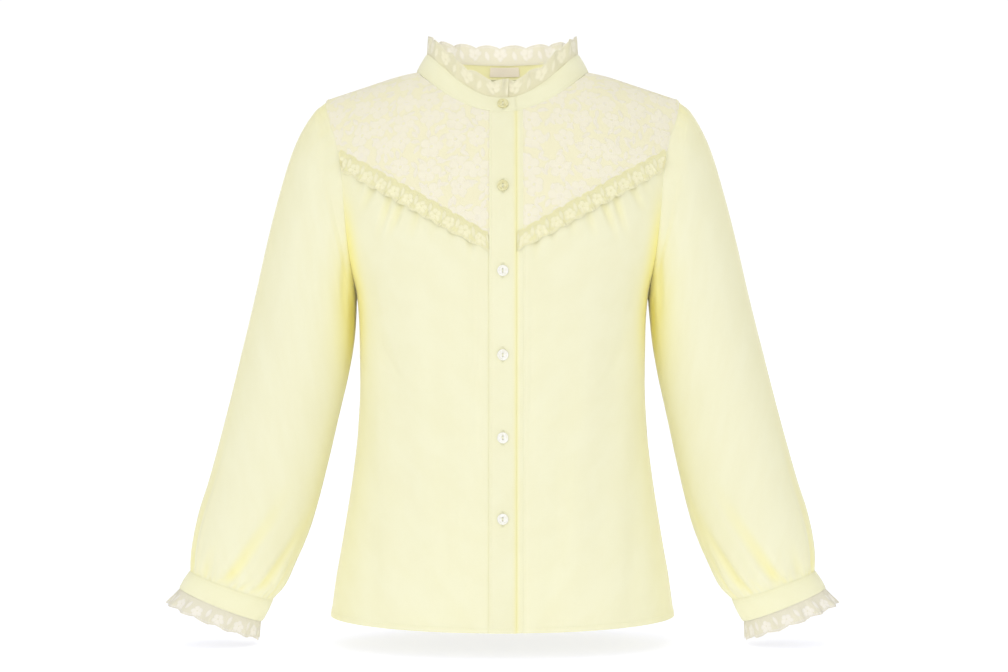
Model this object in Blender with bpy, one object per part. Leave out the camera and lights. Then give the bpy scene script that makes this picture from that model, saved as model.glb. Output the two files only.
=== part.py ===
"""A button-up blouse with a stand collar, a lace yoke, gathered fronts and bishop sleeves.

It is filled out as if worn. Metres, +Z up. The front faces -Y and +X is the wearer's left.
The origin is midway between the two points where the shoulder seams meet the collar.
Sizes below are in millimetres; MM turns them into metres when a mesh is made.
"""

import math
from collections import namedtuple

import bmesh
import bpy
from mathutils import Matrix, Vector

MM = 0.001

# Cloth and seams
WALL = 1.4
YOKE_WALL = 1.8
LACE_WALL = 1.1
BAND_WALL = 1.4
SEAM_GAP = 0.3
ARM_GAP = 0.5

# Body: superellipse sections. The half width above the underarm is that of the whole chest,
# which the armhole then cuts.
ROUNDNESS = 2.3
Section = namedtuple("Section", "height half_width front back")
BODY = [
    Section(0, 213, 116, 103),
    Section(-34, 212, 116, 103),
    Section(-60, 210, 116, 103),
    Section(-93, 206.7, 116, 103),
    Section(-121, 200.8, 116, 103),
    Section(-157, 192, 116.5, 103),
    Section(-200, 177, 117, 101),
    Section(-250, 159.5, 116, 96),
    Section(-290, 156.8, 112, 92),
    Section(-340, 156.3, 108, 90),
    Section(-400, 159, 109, 95),
    Section(-440, 163.4, 112, 100),
    Section(-480, 169.4, 115, 104),
    Section(-520, 176, 118, 107),
    Section(-560, 182.9, 120, 110),
    Section(-602, 188.4, 122, 112),
]
HEM_SIDE, HEM_CENTRE, HEM_BACK = -598.0, -603.3, -600.5

# Shoulders and neck
NECK_HALF = 95.0
SHOULDER_TOP = -1.0
SHOULDER_SLOPE = 0.33
SHOULDER_SOFT = 30.0
FRONT_RISE, BACK_RISE = 210.0, 150.0
NAPE_LIFT = 31.0
NECK_DROP, NECK_DROP_POWER = 50.7, 2.1
NAPE_DROP = 0.5

# Armhole: where the body panels stop and the sleeve starts
Armhole = namedtuple("Armhole", "height half_width")
ARMHOLE = [
    Armhole(-20, 193.0),
    Armhole(-34, 192.0),
    Armhole(-50, 190.5),
    Armhole(-64, 186.5),
    Armhole(-77, 181.5),
    Armhole(-93, 178.0),
    Armhole(-121, 173.0),
    Armhole(-157, 170.0),
    Armhole(-200, 166.0),
    Armhole(-250, 159.5),
]
UNDERARM = -250.0
SHOULDER_TIP = SHOULDER_TOP - SHOULDER_SLOPE * (ARMHOLE[1].half_width - NECK_HALF)
NECK_SIDE = SHOULDER_TOP - SHOULDER_SLOPE * SHOULDER_SOFT / 4

# Facets of the body panels. A power above 1 sets its rows or columns closer at their start.
NECK_STEPS, SHOULDER_STEPS = 8, 5
YOKE_ROWS, YOKE_ROW_POWER = 8, 1.6
FRONT_COLUMNS, FRONT_COLUMN_POWER = 22, 1.05
FRONT_ROWS_ABOVE, FRONT_ROWS_BELOW = 7, 8
BACK_ROWS_ABOVE, BACK_ROWS_BELOW, BACK_ROW_POWER = 9, 7, 1.5
PLACKET_ROWS, PLACKET_COLUMNS = 22, 3

# Front opening: the top placket lies over the under placket
PLACKET_RIGHT, PLACKET_LEFT = -13.8, 14.3
UNDER_RIGHT, UNDER_LEFT = -11.5, 22.5
PLACKET_PROUD = 1.0
PLACKET_WALL = 1.2
UNDER_SINK = 0.5
UNDER_WALL = 1.2
UNDER_DROP = 0.8

# Yoke seam: a straight line on each side, from the armhole down to the placket
YOKE_SIDE_X, YOKE_SIDE_Z = 178.0, -93.0
YOKE_POINT_X, YOKE_POINT_Z = 14.0, -187.0

# Gathers below the yoke seam: troughs between soft ridges
Gather = namedtuple("Gather", "start length drift depth half_width")
GATHERS = [
    Gather(146, 52, 5, 1.8, 6.5),
    Gather(131, 92, 9, 3.0, 7.5),
    Gather(116, 120, 10, 3.6, 7.0),
    Gather(102, 104, 9, 3.2, 7.0),
    Gather(88, 74, 6, 2.4, 7.0),
    Gather(70, 48, 3, 1.6, 7.0),
    Gather(50, 40, 2, 1.4, 6.5),
    Gather(33, 52, 1, 1.6, 6.0),
]

# Sleeves, as sections from the armhole to the cuff: the outer and the inner point of each,
# and its half depth from front to back. Values are for either side, with x outwards.
SleeveRing = namedtuple("SleeveRing", "outer_x outer_z inner_x inner_z half_depth forward")
SLEEVE = [
    SleeveRing(204, -43, 160.6, -256, 59, 0),
    SleeveRing(214, -58, 161.2, -263, 61, 0),
    SleeveRing(224, -77, 161.8, -272, 61, 0),
    SleeveRing(233, -100, 162.4, -283, 60, 0),
    SleeveRing(242, -130, 163.6, -297, 59, 1),
    SleeveRing(251, -163, 166, -315, 58, 2),
    SleeveRing(260, -200, 170, -338, 57, 3),
    SleeveRing(269, -240, 175.5, -363, 56, 4),
    SleeveRing(279, -282, 181.5, -390, 55, 5),
    SleeveRing(290, -326, 188, -420, 54, 6),
    SleeveRing(301, -370, 194.5, -448, 53, 7),
    SleeveRing(312.5, -414, 201.5, -476, 53, 8),
    SleeveRing(323, -452, 208.5, -500, 53, 9),
    SleeveRing(333, -484, 217, -522, 52, 10),
    SleeveRing(338.5, -510, 226, -541, 49, 11),
    SleeveRing(341, -530, 233, -557, 43, 12),
    SleeveRing(341.5, -543, 241.5, -570.5, 34, 12),
    SleeveRing(341.5, -549, 251.5, -581, 27.5, 12),
]
SLEEVE_AROUND = 27

# Creases of a sleeve: soft troughs that start at the cuff and fade towards the elbow
Crease = namedtuple("Crease", "cuff_angle end_angle length depth half_angle")
CREASES = [
    Crease(14, 22, 4, 2.4, 13),
    Crease(40, 52, 3, 1.8, 12),
    Crease(81, 121, 5, 4.2, 14),
    Crease(127, 151, 5, 3.8, 13),
    Crease(168, 172, 3, 2.2, 12),
    Crease(206, 190, 5, 3.6, 14),
    Crease(244, 226, 4, 3.2, 14),
    Crease(283, 262, 6, 3.8, 14),
    Crease(322, 314, 4, 2.6, 13),
]
CREASE_FADE = 0.7
CREASE_SEAM_RINGS = 1.5
HEAD_GATHERS, HEAD_GATHER_DEPTH, HEAD_GATHER_RINGS = 7, 1.2, 4

# Cuffs, and the lace below them
CuffRing = namedtuple("CuffRing", "outer_x outer_z inner_x inner_z half_depth forward")
CUFF_TOP = CuffRing(341.8, -549.6, 251.8, -581.8, 27.6, 12)
CUFF_LOW = CuffRing(353.0, -567.6, 263.0, -604.0, 28.6, 13)
LACE_LOW = CuffRing(369.0, -584.0, 264.0, -624.5, 36.0, 14)
CUFF_AROUND = 28
CUFF_OFF = 0.6
CUFF_WAVES, CUFF_WAVE_DEPTH, CUFF_SEWN_WAVE = 13, 4.5, 0.1
CUFF_SCALLOP_PART = 0.08

# Collar band and its lace
BAND_TOP_HALF = 84.0
BAND_TOP_SIDE, BAND_TOP_FRONT_DROP, BAND_TOP_BACK_DROP = 16.0, 53.5, 2.0
BAND_DROP_POWER = 2.5
BAND_TOP_FRONT, BAND_TOP_BACK = 66.0, 58.0
BAND_LIFT = 0.5
BAND_END_STEPS = 2

# The band's right end laps over its left end, and each eases back to the band's own line.
# Turns round the neck are in radians, from the centre front to the wearer's right.
BAND_START = -math.asin(PLACKET_LEFT / NECK_HALF)
BAND_END = 2 * math.pi + math.asin(-UNDER_RIGHT / NECK_HALF)
OVER_LAP, UNDER_LAP = math.radians(9), math.radians(16.2)
BAND_EASE = math.radians(22)
BAND_SINK = 0.7

# Ruffles of lace: waves that open from the sewn edge, which keeps a part of their depth
SAMPLES_PER_WAVE = 5
RUFFLE_ROWS = (0.0, 0.5, 1.0)
SCALLOP = 2.2
RUFFLE_HEIGHT = 21.0
RUFFLE_LEAN = -1.5
RUFFLE_INSET, RUFFLE_LIFT = 1.2, 0.5
RUFFLE_START, RUFFLE_END = math.radians(-4), math.radians(361)
COLLAR_WAVES, COLLAR_WAVE_DEPTH, COLLAR_SEWN_WAVE = 23, 4.2, 0.25
YOKE_WAVES, YOKE_WAVE_DEPTH, YOKE_SEWN_WAVE = 11, 6.5, 0.2
YOKE_RUFFLE_WIDTH, YOKE_RUFFLE_ABOVE = 21.0, 3.0
YOKE_RUFFLE_OFF, YOKE_RUFFLE_SINK = 2.4, 0.8
YOKE_RUFFLE_RIGHT, YOKE_RUFFLE_LEFT = -PLACKET_RIGHT + 2.0, UNDER_LEFT + 1.5
YOKE_RUFFLE_SHORT, YOKE_RUFFLE_SLACK = 2.5, 1.0

# Buttons
BUTTON_RADIUS, BUTTON_THICK = 5.9, 2.2
BUTTON_PROFILE = [(5.4, 0.0), (5.9, 0.6), (5.7, 2.2), (4.5, 2.2), (3.9, 1.7)]
BUTTON_HOLE_RADIUS, BUTTON_HOLE_APART, BUTTON_HOLE_SIDES = 0.8, 1.6, 6
BUTTON_SIDES = 14
BUTTON_X, BUTTON_OFF = 0.4, 0.55
BUTTON_HEIGHTS = [-135.0, -224.0, -312.0, -399.5, -484.5]

# Neck label, inside the back of the band
LABEL_WIDTH, LABEL_HEIGHT, LABEL_THICK, LABEL_X = 42.0, 11.0, 0.6, 3.0
LABEL_STEPS = 6

# Colours, roughness
CREAM = (0.90, 0.89, 0.62, 1.0)
LACE_CREAM = (0.90, 0.87, 0.64, 1.0)
PEARL = (0.88, 0.87, 0.74, 1.0)
LABEL_PINK = (0.76, 0.66, 0.55, 1.0)


def clear_scene():
    for thing in list(bpy.data.objects):
        bpy.data.objects.remove(thing, do_unlink=True)


def finish(name, colour, roughness):
    """A material with this piece's colour and roughness."""
    made = bpy.data.materials.new(name)
    made.use_nodes = True
    shader = made.node_tree.nodes["Principled BSDF"]
    shader.inputs["Base Color"].default_value = colour
    shader.inputs["Roughness"].default_value = roughness
    shader.inputs["Metallic"].default_value = 0.0
    return made


def along(table, field, height):
    """The field of a table at a height, on a smooth curve that never overshoots its rows."""
    rows = sorted((row.height, getattr(row, field)) for row in table)
    if height <= rows[0][0]:
        return rows[0][1]
    if height >= rows[-1][0]:
        return rows[-1][1]
    slopes = [(b[1] - a[1]) / (b[0] - a[0]) for a, b in zip(rows, rows[1:])]
    tangents = [slopes[0]]
    for before, after in zip(slopes, slopes[1:]):
        same_way = before * after > 0
        tangents.append(2 * before * after / (before + after) if same_way else 0.0)
    tangents.append(slopes[-1])
    i = max(k for k in range(len(slopes)) if rows[k][0] <= height)
    span = rows[i + 1][0] - rows[i][0]
    t = (height - rows[i][0]) / span
    return (
        (2 * t**3 - 3 * t**2 + 1) * rows[i][1]
        + (t**3 - 2 * t**2 + t) * span * tangents[i]
        + (3 * t**2 - 2 * t**3) * rows[i + 1][1]
        + (t**3 - t**2) * span * tangents[i + 1]
    )


def fade(t):
    """A smooth step from 0 to 1."""
    t = min(max(t, 0.0), 1.0)
    return t * t * (3 - 2 * t)


def shoulder(x):
    """Height of the shoulder line at this distance from the centre, with a soft bend at the neck."""
    off = abs(x) - NECK_HALF
    if off < SHOULDER_SOFT:
        off = max(0.0, off + SHOULDER_SOFT) ** 2 / (4 * SHOULDER_SOFT)
    return SHOULDER_TOP - SHOULDER_SLOPE * off


def edge_width(z):
    """Where a body panel ends: at the armhole, and below it at the side seam."""
    return along(ARMHOLE if z > UNDERARM else BODY, "half_width", z)


def depth(x, z, front):
    """How far the cloth stands from the plane of the seams, at this place."""
    half = along(BODY, "half_width", z)
    if front:
        full, rise, top = along(BODY, "front", z), FRONT_RISE, shoulder(x)
    else:
        lift = NAPE_LIFT * max(0.0, 1 - (x / NECK_HALF) ** 2) ** 2
        full, rise, top = along(BODY, "back", z), BACK_RISE, shoulder(x) + lift
    part = min(max((top - z) / rise, 0.0), 1.0)
    across = max(0.0, 1 - (min(abs(x), half) / half) ** ROUNDNESS) ** (1 / ROUNDNESS)
    return full * math.sqrt(1 - (1 - part) ** 2) * across


def body_point(x, z, front, out=0.0):
    """A point of the body's outer surface, moved out from the seam plane by `out`."""
    away = depth(x, z, front) + SEAM_GAP / 2 + out
    return Vector((x, -away if front else away, z))


def neck_height(x, front):
    """Height of the seam between the body and the collar band."""
    part = max(0.0, 1 - (x / NECK_HALF) ** 2)
    if front:
        return NECK_SIDE - NECK_DROP * part ** (NECK_DROP_POWER / 2)
    return NECK_SIDE - NAPE_DROP * part


def top_edge(x, front):
    """Upper edge of the body: the neck seam, then the shoulder seam."""
    return neck_height(x, front) if abs(x) < NECK_HALF else shoulder(x)


def yoke_seam(x):
    """Height of the yoke seam."""
    part = (abs(x) - YOKE_POINT_X) / (YOKE_SIDE_X - YOKE_POINT_X)
    return YOKE_POINT_Z + (YOKE_SIDE_Z - YOKE_POINT_Z) * part


def hem(x, front=True):
    part = min(abs(x) / BODY[-1].half_width, 1.0)
    centre = HEM_CENTRE if front else HEM_BACK
    return centre + (HEM_SIDE - centre) * part**2


def angle_at(x, z):
    half = along(BODY, "half_width", z)
    return math.asin(min(1.0, (min(x, half) / half) ** (ROUNDNESS / 2)))


def across(part, z, inner_x):
    """x at a part of the way from inner_x to the panel's edge, in equal turns of the section."""
    half = along(BODY, "half_width", z)
    first = angle_at(inner_x, z)
    last = angle_at(edge_width(z), z)
    turn = first + (last - first) * part
    return half * math.sin(turn) ** (2 / ROUNDNESS)


def meet(part, inner_x, line):
    """The height at which a column of the panel meets a line given as height over x."""
    z = line(inner_x)
    for _ in range(12):
        z = line(across(part, z, inner_x))
    return z


def part_of(x, z, inner_x):
    """The inverse of across."""
    first = angle_at(inner_x, z)
    last = angle_at(edge_width(z), z)
    return (angle_at(x, z) - first) / (last - first)


def spread(first, last, steps):
    return [first + (last - first) * i / steps for i in range(steps + 1)]


def normals(grid, closed):
    """Unit normals of a grid of points, by the cross product of its two directions."""
    rows, columns = len(grid), len(grid[0])
    found = []
    for j in range(rows):
        line = []
        for i in range(columns):
            if closed:
                right, left = grid[j][(i + 1) % columns], grid[j][i - 1]
            else:
                right, left = grid[j][min(i + 1, columns - 1)], grid[j][max(i - 1, 0)]
            down, up = grid[min(j + 1, rows - 1)][i], grid[max(j - 1, 0)][i]
            line.append((right - left).cross(down - up).normalized())
        found.append(line)
    return found


def wall_mesh(name, outer, thickness, closed=False, keep=None):
    """A closed wall whose outer skin is this grid of points. Its inner skin lies towards the axis
    that the cloth goes round: the middle of each row in a tube, the body's own axis otherwise."""
    rows, columns = len(outer), len(outer[0])
    away = normals(outer, closed)
    total = 0.0
    for j in range(rows):
        middle = sum(outer[j], Vector()) / columns
        for i in range(columns):
            core = middle if closed else Vector((0, 0, outer[j][i].z))
            total += (outer[j][i] - core).dot(away[j][i])
    side = 1.0 if total > 0 else -1.0
    inner = []
    for j in range(rows):
        line = []
        for i in range(columns):
            point = outer[j][i] - away[j][i] * side * thickness
            line.append(keep(point, outer[j][i], j, i) if keep else point)
        inner.append(line)
    mesh = bmesh.new()
    skins = [
        [[mesh.verts.new(p * MM) for p in row] for row in skin] for skin in (outer, inner)
    ]
    last = columns if closed else columns - 1
    for j in range(rows - 1):
        for i in range(last):
            k = (i + 1) % columns
            for skin, flip in ((skins[0], False), (skins[1], True)):
                a, b, c, d = skin[j][i], skin[j][k], skin[j + 1][k], skin[j + 1][i]
                for corners in ((a, b, c), (a, c, d)):
                    mesh.faces.new(corners[::-1] if flip else corners)
    border = [[(0, i) for i in range(columns)], [(rows - 1, i) for i in range(columns)]]
    if closed:
        border = [line + line[:1] for line in border]
    else:
        border = [
            border[0] + [(j, columns - 1) for j in range(1, rows)]
            + border[1][::-1][1:] + [(j, 0) for j in range(rows - 2, -1, -1)]
        ]
    for line in border:
        for (j0, i0), (j1, i1) in zip(line, line[1:]):
            a, b = skins[0][j0][i0], skins[0][j1][i1]
            c, d = skins[1][j1][i1], skins[1][j0][i0]
            mesh.faces.new((a, b, c))
            mesh.faces.new((a, c, d))
    bmesh.ops.recalc_face_normals(mesh, faces=mesh.faces)
    data = bpy.data.meshes.new(name)
    mesh.to_mesh(data)
    mesh.free()
    return data


def place(name, data, material):
    thing = bpy.data.objects.new(name, data)
    bpy.context.scene.collection.objects.link(thing)
    data.materials.clear()
    data.materials.append(material)
    data.shade_smooth()
    data.set_sharp_from_angle(angle=math.radians(50))
    return thing


def hold_side(front):
    """Keeps the inner skin on its own side of the seam plane."""
    least = SEAM_GAP / 2

    def keep(point, outer_point, j, i):
        away = -point.y if front else point.y
        if away < least:
            point.y = -least if front else least
        return point

    return keep


def gather(x, z):
    """How far the gathers below the yoke seam draw the cloth in."""
    fallen = yoke_seam(x) - z
    total = 0.0
    for row in GATHERS:
        part = fallen / row.length
        if not 0.0 <= part <= 1.0:
            continue
        centre = row.start + row.drift * part
        off = (abs(x) - centre) / row.half_width
        if abs(off) < 1:
            fullness = (0.35 + 0.65 * fade(part * 4)) * (1 - fade((part - 0.3) / 0.7))
            total += row.depth * math.cos(off * math.pi / 2) ** 2 * fullness
    return total


def neck_columns(inner_x, front):
    """Column places whose top ends are evenly turned round the neck, then along the shoulder."""
    first = math.asin(inner_x / NECK_HALF)
    turns = spread(first, math.pi / 2, NECK_STEPS)
    xs = [NECK_HALF * math.sin(turn) for turn in turns]
    neck = [part_of(x, neck_height(x, front), inner_x) for x in xs]
    return neck + spread(neck[-1], 1.0, SHOULDER_STEPS)[1:]


def panel(columns, rows, inner_x, front, top, bottom, sink=None):
    """Grid of a panel of one side: rows from top to bottom, columns outwards."""
    grid = []
    tops = [meet(part, inner_x, top) for part in columns]
    lows = [meet(part, inner_x, bottom) for part in columns]
    for t in rows:
        line = []
        for part, high, low in zip(columns, tops, lows):
            z = high + (low - high) * t
            x = across(part, z, inner_x)
            out = -sink(x, z) if sink else 0.0
            line.append(body_point(x, z, front, out))
        grid.append(line)
    return grid


def mirrored(grid):
    return [[Vector((-p.x, p.y, p.z)) for p in row] for row in grid]


def side_rows(top_z, bottom_z, above, below, power=1.0):
    """Row places with one row at the underarm."""
    share = (top_z - UNDERARM) / (top_z - bottom_z)
    upper = [share * (i / above) ** power for i in range(above + 1)]
    return upper + spread(share, 1.0, below)[1:]


def build_yokes(material):
    for side, inner_x in (("right", -PLACKET_RIGHT + SEAM_GAP), ("left", UNDER_LEFT + SEAM_GAP)):
        columns = neck_columns(inner_x, True)
        rows = [part**YOKE_ROW_POWER for part in spread(0.0, 1.0, YOKE_ROWS)]
        grid = panel(
            columns, rows, inner_x, True,
            lambda x: top_edge(x, True), lambda x: yoke_seam(x) + SEAM_GAP / 2,
        )
        if side == "right":
            grid = mirrored(grid)
        data = wall_mesh(f"yoke_{side}", grid, YOKE_WALL, keep=hold_side(True))
        place(f"yoke_{side}", data, material)


def build_fronts(material):
    for side, inner_x in (("right", -PLACKET_RIGHT + SEAM_GAP), ("left", UNDER_LEFT + SEAM_GAP)):
        columns = [part**FRONT_COLUMN_POWER for part in spread(0.0, 1.0, FRONT_COLUMNS)]
        rows = side_rows(YOKE_SIDE_Z, HEM_SIDE, FRONT_ROWS_ABOVE, FRONT_ROWS_BELOW)
        grid = panel(
            columns, rows, inner_x, True,
            lambda x: yoke_seam(x) - SEAM_GAP / 2, hem, gather,
        )
        if side == "right":
            grid = mirrored(grid)
        data = wall_mesh(f"front_{side}", grid, WALL, keep=hold_side(True))
        place(f"front_{side}", data, material)


def build_back(material):
    rows = side_rows(SHOULDER_TIP, HEM_SIDE, BACK_ROWS_ABOVE, BACK_ROWS_BELOW, BACK_ROW_POWER)
    half = panel(
        neck_columns(0.0, False), rows, 0.0, False,
        lambda x: top_edge(x, False), lambda x: hem(x, False),
    )
    grid = [
        [Vector((-p.x, p.y, p.z)) for p in reversed(row[1:])] + row for row in half
    ]
    place("back", wall_mesh("back", grid, WALL, keep=hold_side(False)), material)


def build_plackets(material):
    """The two strips that overlap at the centre of the front."""
    strips = (
        ("placket", PLACKET_RIGHT, PLACKET_LEFT, PLACKET_PROUD, PLACKET_WALL, 0.0),
        ("under_placket", UNDER_RIGHT, UNDER_LEFT, -UNDER_SINK, UNDER_WALL, UNDER_DROP),
    )
    for name, left, right, out, thickness, drop in strips:
        grid = []
        for t in spread(0.0, 1.0, PLACKET_ROWS):
            line = []
            for x in spread(left, right, PLACKET_COLUMNS):
                top = neck_height(x, True) - drop
                z = top + (hem(x) - top) * t
                line.append(body_point(x, z, True, out))
            grid.append(line)
        place(name, wall_mesh(name, grid, thickness), material)


def neck_point(turn, out=0.0):
    """A point of the neck seam. The turn starts at the centre front and goes to the right."""
    x = -NECK_HALF * math.sin(turn)
    front = math.cos(turn) > 0
    return body_point(x, neck_height(x, front), front, out)


def band_top(turn, out=0.0):
    """A point of the band's upper edge."""
    sine, cosine = math.sin(turn), math.cos(turn)
    if cosine > 0:
        reach, drop = -BAND_TOP_FRONT, BAND_TOP_FRONT_DROP * cosine**BAND_DROP_POWER
    else:
        reach, drop = BAND_TOP_BACK, BAND_TOP_BACK_DROP * cosine**2
    point = Vector((-BAND_TOP_HALF * sine, reach * abs(cosine), BAND_TOP_SIDE - drop))
    flat = Vector((point.x, point.y, 0)).normalized()
    return point + flat * out


def band_out(turn):
    """How far the band stands out: its right end lies over its left end."""
    over = PLACKET_PROUD * (1 - fade((turn - OVER_LAP) / BAND_EASE))
    under = BAND_SINK * fade((turn - (2 * math.pi - UNDER_LAP - BAND_EASE)) / BAND_EASE)
    return over - under


def band_turns():
    """Turns round the neck, with the body panels' own steps between the plackets."""
    inner = math.asin(-PLACKET_RIGHT / NECK_HALF)
    quarter = spread(inner, math.pi / 2, NECK_STEPS)
    back = spread(math.pi / 2, 3 * math.pi / 2, 2 * NECK_STEPS)
    left = [2 * math.pi - turn for turn in reversed(quarter)]
    first = spread(BAND_START, inner, BAND_END_STEPS)[:-1]
    last = spread(2 * math.pi - inner, BAND_END, BAND_END_STEPS)[1:]
    return first + quarter[:-1] + back + left[1:] + last


def band_edges(turn):
    """The band's upper and lower point at a turn round the neck."""
    out = band_out(turn)
    low = neck_point(turn, out)
    high = band_top(turn, out)
    up = (high - low).normalized()
    return high, low + up * (BAND_LIFT + max(out, 0.0) / 2)


def build_collar_band(material):
    grid = [list(row) for row in zip(*(band_edges(turn) for turn in band_turns()))]
    place("collar_band", wall_mesh("collar_band", grid, BAND_WALL), material)


def opening(sewn_part, v):
    """How much of a wave's depth there is at a part of the way from the sewn edge."""
    return sewn_part + (1 - sewn_part) * v


def build_collar_ruffle(material):
    """Lace that stands on the band's upper edge."""
    grid = []
    places = spread(RUFFLE_START, RUFFLE_END, COLLAR_WAVES * SAMPLES_PER_WAVE)
    for v in RUFFLE_ROWS:
        line = []
        for i, turn in enumerate(places):
            crest = 0.5 + 0.5 * math.cos(2 * math.pi * i / SAMPLES_PER_WAVE)
            reach = RUFFLE_HEIGHT * v - (SCALLOP * (1 - crest) if v == 1.0 else 0.0)
            out = Vector((-math.sin(turn), -math.cos(turn), 0.0))
            rise = (Vector((0, 0, 1)) + out * (RUFFLE_LEAN / RUFFLE_HEIGHT)).normalized()
            base = band_top(turn, -RUFFLE_INSET + band_out(turn)) + Vector((0, 0, RUFFLE_LIFT))
            wave = COLLAR_WAVE_DEPTH * opening(COLLAR_SEWN_WAVE, v) * crest
            line.append(base + rise * reach + out * wave)
        grid.append(line)
    place("collar_ruffle", wall_mesh("collar_ruffle", grid, LACE_WALL), material)


def build_yoke_ruffles(material):
    """Lace over the yoke seam, from the armhole to the placket."""
    run = Vector((YOKE_SIDE_X - YOKE_POINT_X, 0, YOKE_SIDE_Z - YOKE_POINT_Z)).normalized()
    fall = Vector((run.z, 0, -run.x))
    for side, start_x in (("right", YOKE_RUFFLE_RIGHT), ("left", YOKE_RUFFLE_LEFT)):
        places = spread(start_x, YOKE_SIDE_X - YOKE_RUFFLE_SHORT, YOKE_WAVES * SAMPLES_PER_WAVE)
        grid = []
        for v in RUFFLE_ROWS:
            line = []
            for i, x in enumerate(places):
                crest = 0.5 + 0.5 * math.cos(2 * math.pi * i / SAMPLES_PER_WAVE)
                down = (YOKE_RUFFLE_WIDTH - SCALLOP * (1 - crest)) * v - YOKE_RUFFLE_ABOVE
                lift = YOKE_RUFFLE_OFF + YOKE_WAVE_DEPTH * opening(YOKE_SEWN_WAVE, v) * crest
                if v == 0.0:
                    lift -= YOKE_RUFFLE_SINK
                at = Vector((x, 0, yoke_seam(x))) + fall * down
                at.x = max(at.x, start_x - YOKE_RUFFLE_SLACK)
                at.x = min(at.x, edge_width(at.z) - YOKE_RUFFLE_SLACK)
                line.append(body_point(at.x, at.z, True, lift))
            grid.append(line)
        if side == "right":
            grid = mirrored(grid)
        name = f"yoke_ruffle_{side}"
        place(name, wall_mesh(name, grid, LACE_WALL), material)


def ring_point(ring, turn, out=0.0):
    """A point of a sleeve section. Turn 0 is its outer point, 90 degrees its front."""
    high = Vector((ring.outer_x, 0, ring.outer_z))
    low = Vector((ring.inner_x, 0, ring.inner_z))
    middle = (high + low) / 2
    along_ring = (high - low) / 2
    size = along_ring.length
    unit = along_ring / size
    forward = Vector((0, -1, 0))
    round_way = unit * math.cos(turn) / size + forward * math.sin(turn) / ring.half_depth
    place_of = middle + forward * ring.forward
    place_of = place_of + unit * size * math.cos(turn) + forward * ring.half_depth * math.sin(turn)
    return place_of + round_way.normalized() * out


def armhole_point(turn):
    """A point of the armhole, a little outside the panel's edge."""
    middle, half = (SHOULDER_TIP + UNDERARM) / 2, (SHOULDER_TIP - UNDERARM) / 2
    z = middle + half * math.cos(turn)
    x = along(ARMHOLE, "half_width", z)
    away = depth(x, z, math.sin(turn) >= 0)
    return Vector((x + ARM_GAP, math.copysign(away, -math.sin(turn)), z))


def crease_at(turn, ring):
    """How far a sleeve's creases draw in a point, with rings counted from the cuff."""
    degrees = math.degrees(turn) % 360
    total = 0.0
    for row in CREASES:
        part = ring / row.length
        if part > 1:
            continue
        centre = row.cuff_angle + (row.end_angle - row.cuff_angle) * part
        off = abs((degrees - centre + 180) % 360 - 180) / row.half_angle
        if off < 1:
            left = (1 - fade(part)) ** CREASE_FADE
            total += row.depth * math.cos(off * math.pi / 2) ** 2 * left
    return total


def clear_of_body(point):
    """Keeps a sleeve's point just outside the body panels' edge."""
    least = edge_width(point.z) if point.z > UNDERARM else ARMHOLE[-1].half_width
    point.x = max(point.x, least + ARM_GAP)
    return point


def build_sleeves(material):
    turns = [2 * math.pi * i / SLEEVE_AROUND for i in range(SLEEVE_AROUND)]
    grid = [[armhole_point(turn) for turn in turns]]
    for k, ring in enumerate(SLEEVE):
        from_cuff = len(SLEEVE) - 1 - k
        line = []
        for turn in turns:
            out = 0.0
            if from_cuff > 0:
                out -= crease_at(turn, from_cuff) * min(1.0, from_cuff / CREASE_SEAM_RINGS)
            if k < HEAD_GATHER_RINGS and math.cos(turn) > 0:
                ripple = 0.5 - 0.5 * math.cos(2 * HEAD_GATHERS * turn)
                out += HEAD_GATHER_DEPTH * ripple * math.cos(turn) * (1 - k / HEAD_GATHER_RINGS)
            line.append(clear_of_body(ring_point(ring, turn, out)))
        grid.append(line)

    for side in ("right", "left"):
        sign = -1 if side == "right" else 1

        def keep(point, outer_point, j, i):
            point.x *= sign
            if j == 0:
                point.x = outer_point.x * sign
            point = clear_of_body(point)
            point.x *= sign
            return point

        rows = mirrored(grid) if side == "right" else grid
        name = f"sleeve_{side}"
        place(name, wall_mesh(name, rows, WALL, True, keep), material)


def build_cuffs(material, lace):
    turns = [2 * math.pi * i / CUFF_AROUND for i in range(CUFF_AROUND)]
    rings = (CUFF_TOP, CUFF_LOW)
    grid = [[ring_point(ring, turn, CUFF_OFF) for turn in turns] for ring in rings]
    count = CUFF_WAVES * SAMPLES_PER_WAVE
    frill = []
    for v in RUFFLE_ROWS:
        line = []
        for i in range(count):
            turn = 2 * math.pi * i / count
            trough = 0.5 - 0.5 * math.cos(CUFF_WAVES * turn)
            low = ring_point(LACE_LOW, turn)
            high = ring_point(CUFF_LOW, turn, -CUFF_OFF)
            high = high + (low - high).normalized() * CUFF_OFF
            reach = v - (CUFF_SCALLOP_PART * trough if v == 1.0 else 0.0)
            wave = -CUFF_WAVE_DEPTH * opening(CUFF_SEWN_WAVE, v) * trough
            away = (ring_point(LACE_LOW, turn, 1.0) - low).normalized()
            line.append(high + (low - high) * reach + away * wave)
        frill.append(line)
    for side in ("right", "left"):
        sided = mirrored if side == "right" else (lambda rows: rows)
        place(f"cuff_{side}", wall_mesh(f"cuff_{side}", sided(grid), WALL, True), material)
        name = f"cuff_ruffle_{side}"
        place(name, wall_mesh(name, sided(frill), LACE_WALL, True), lace)


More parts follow.
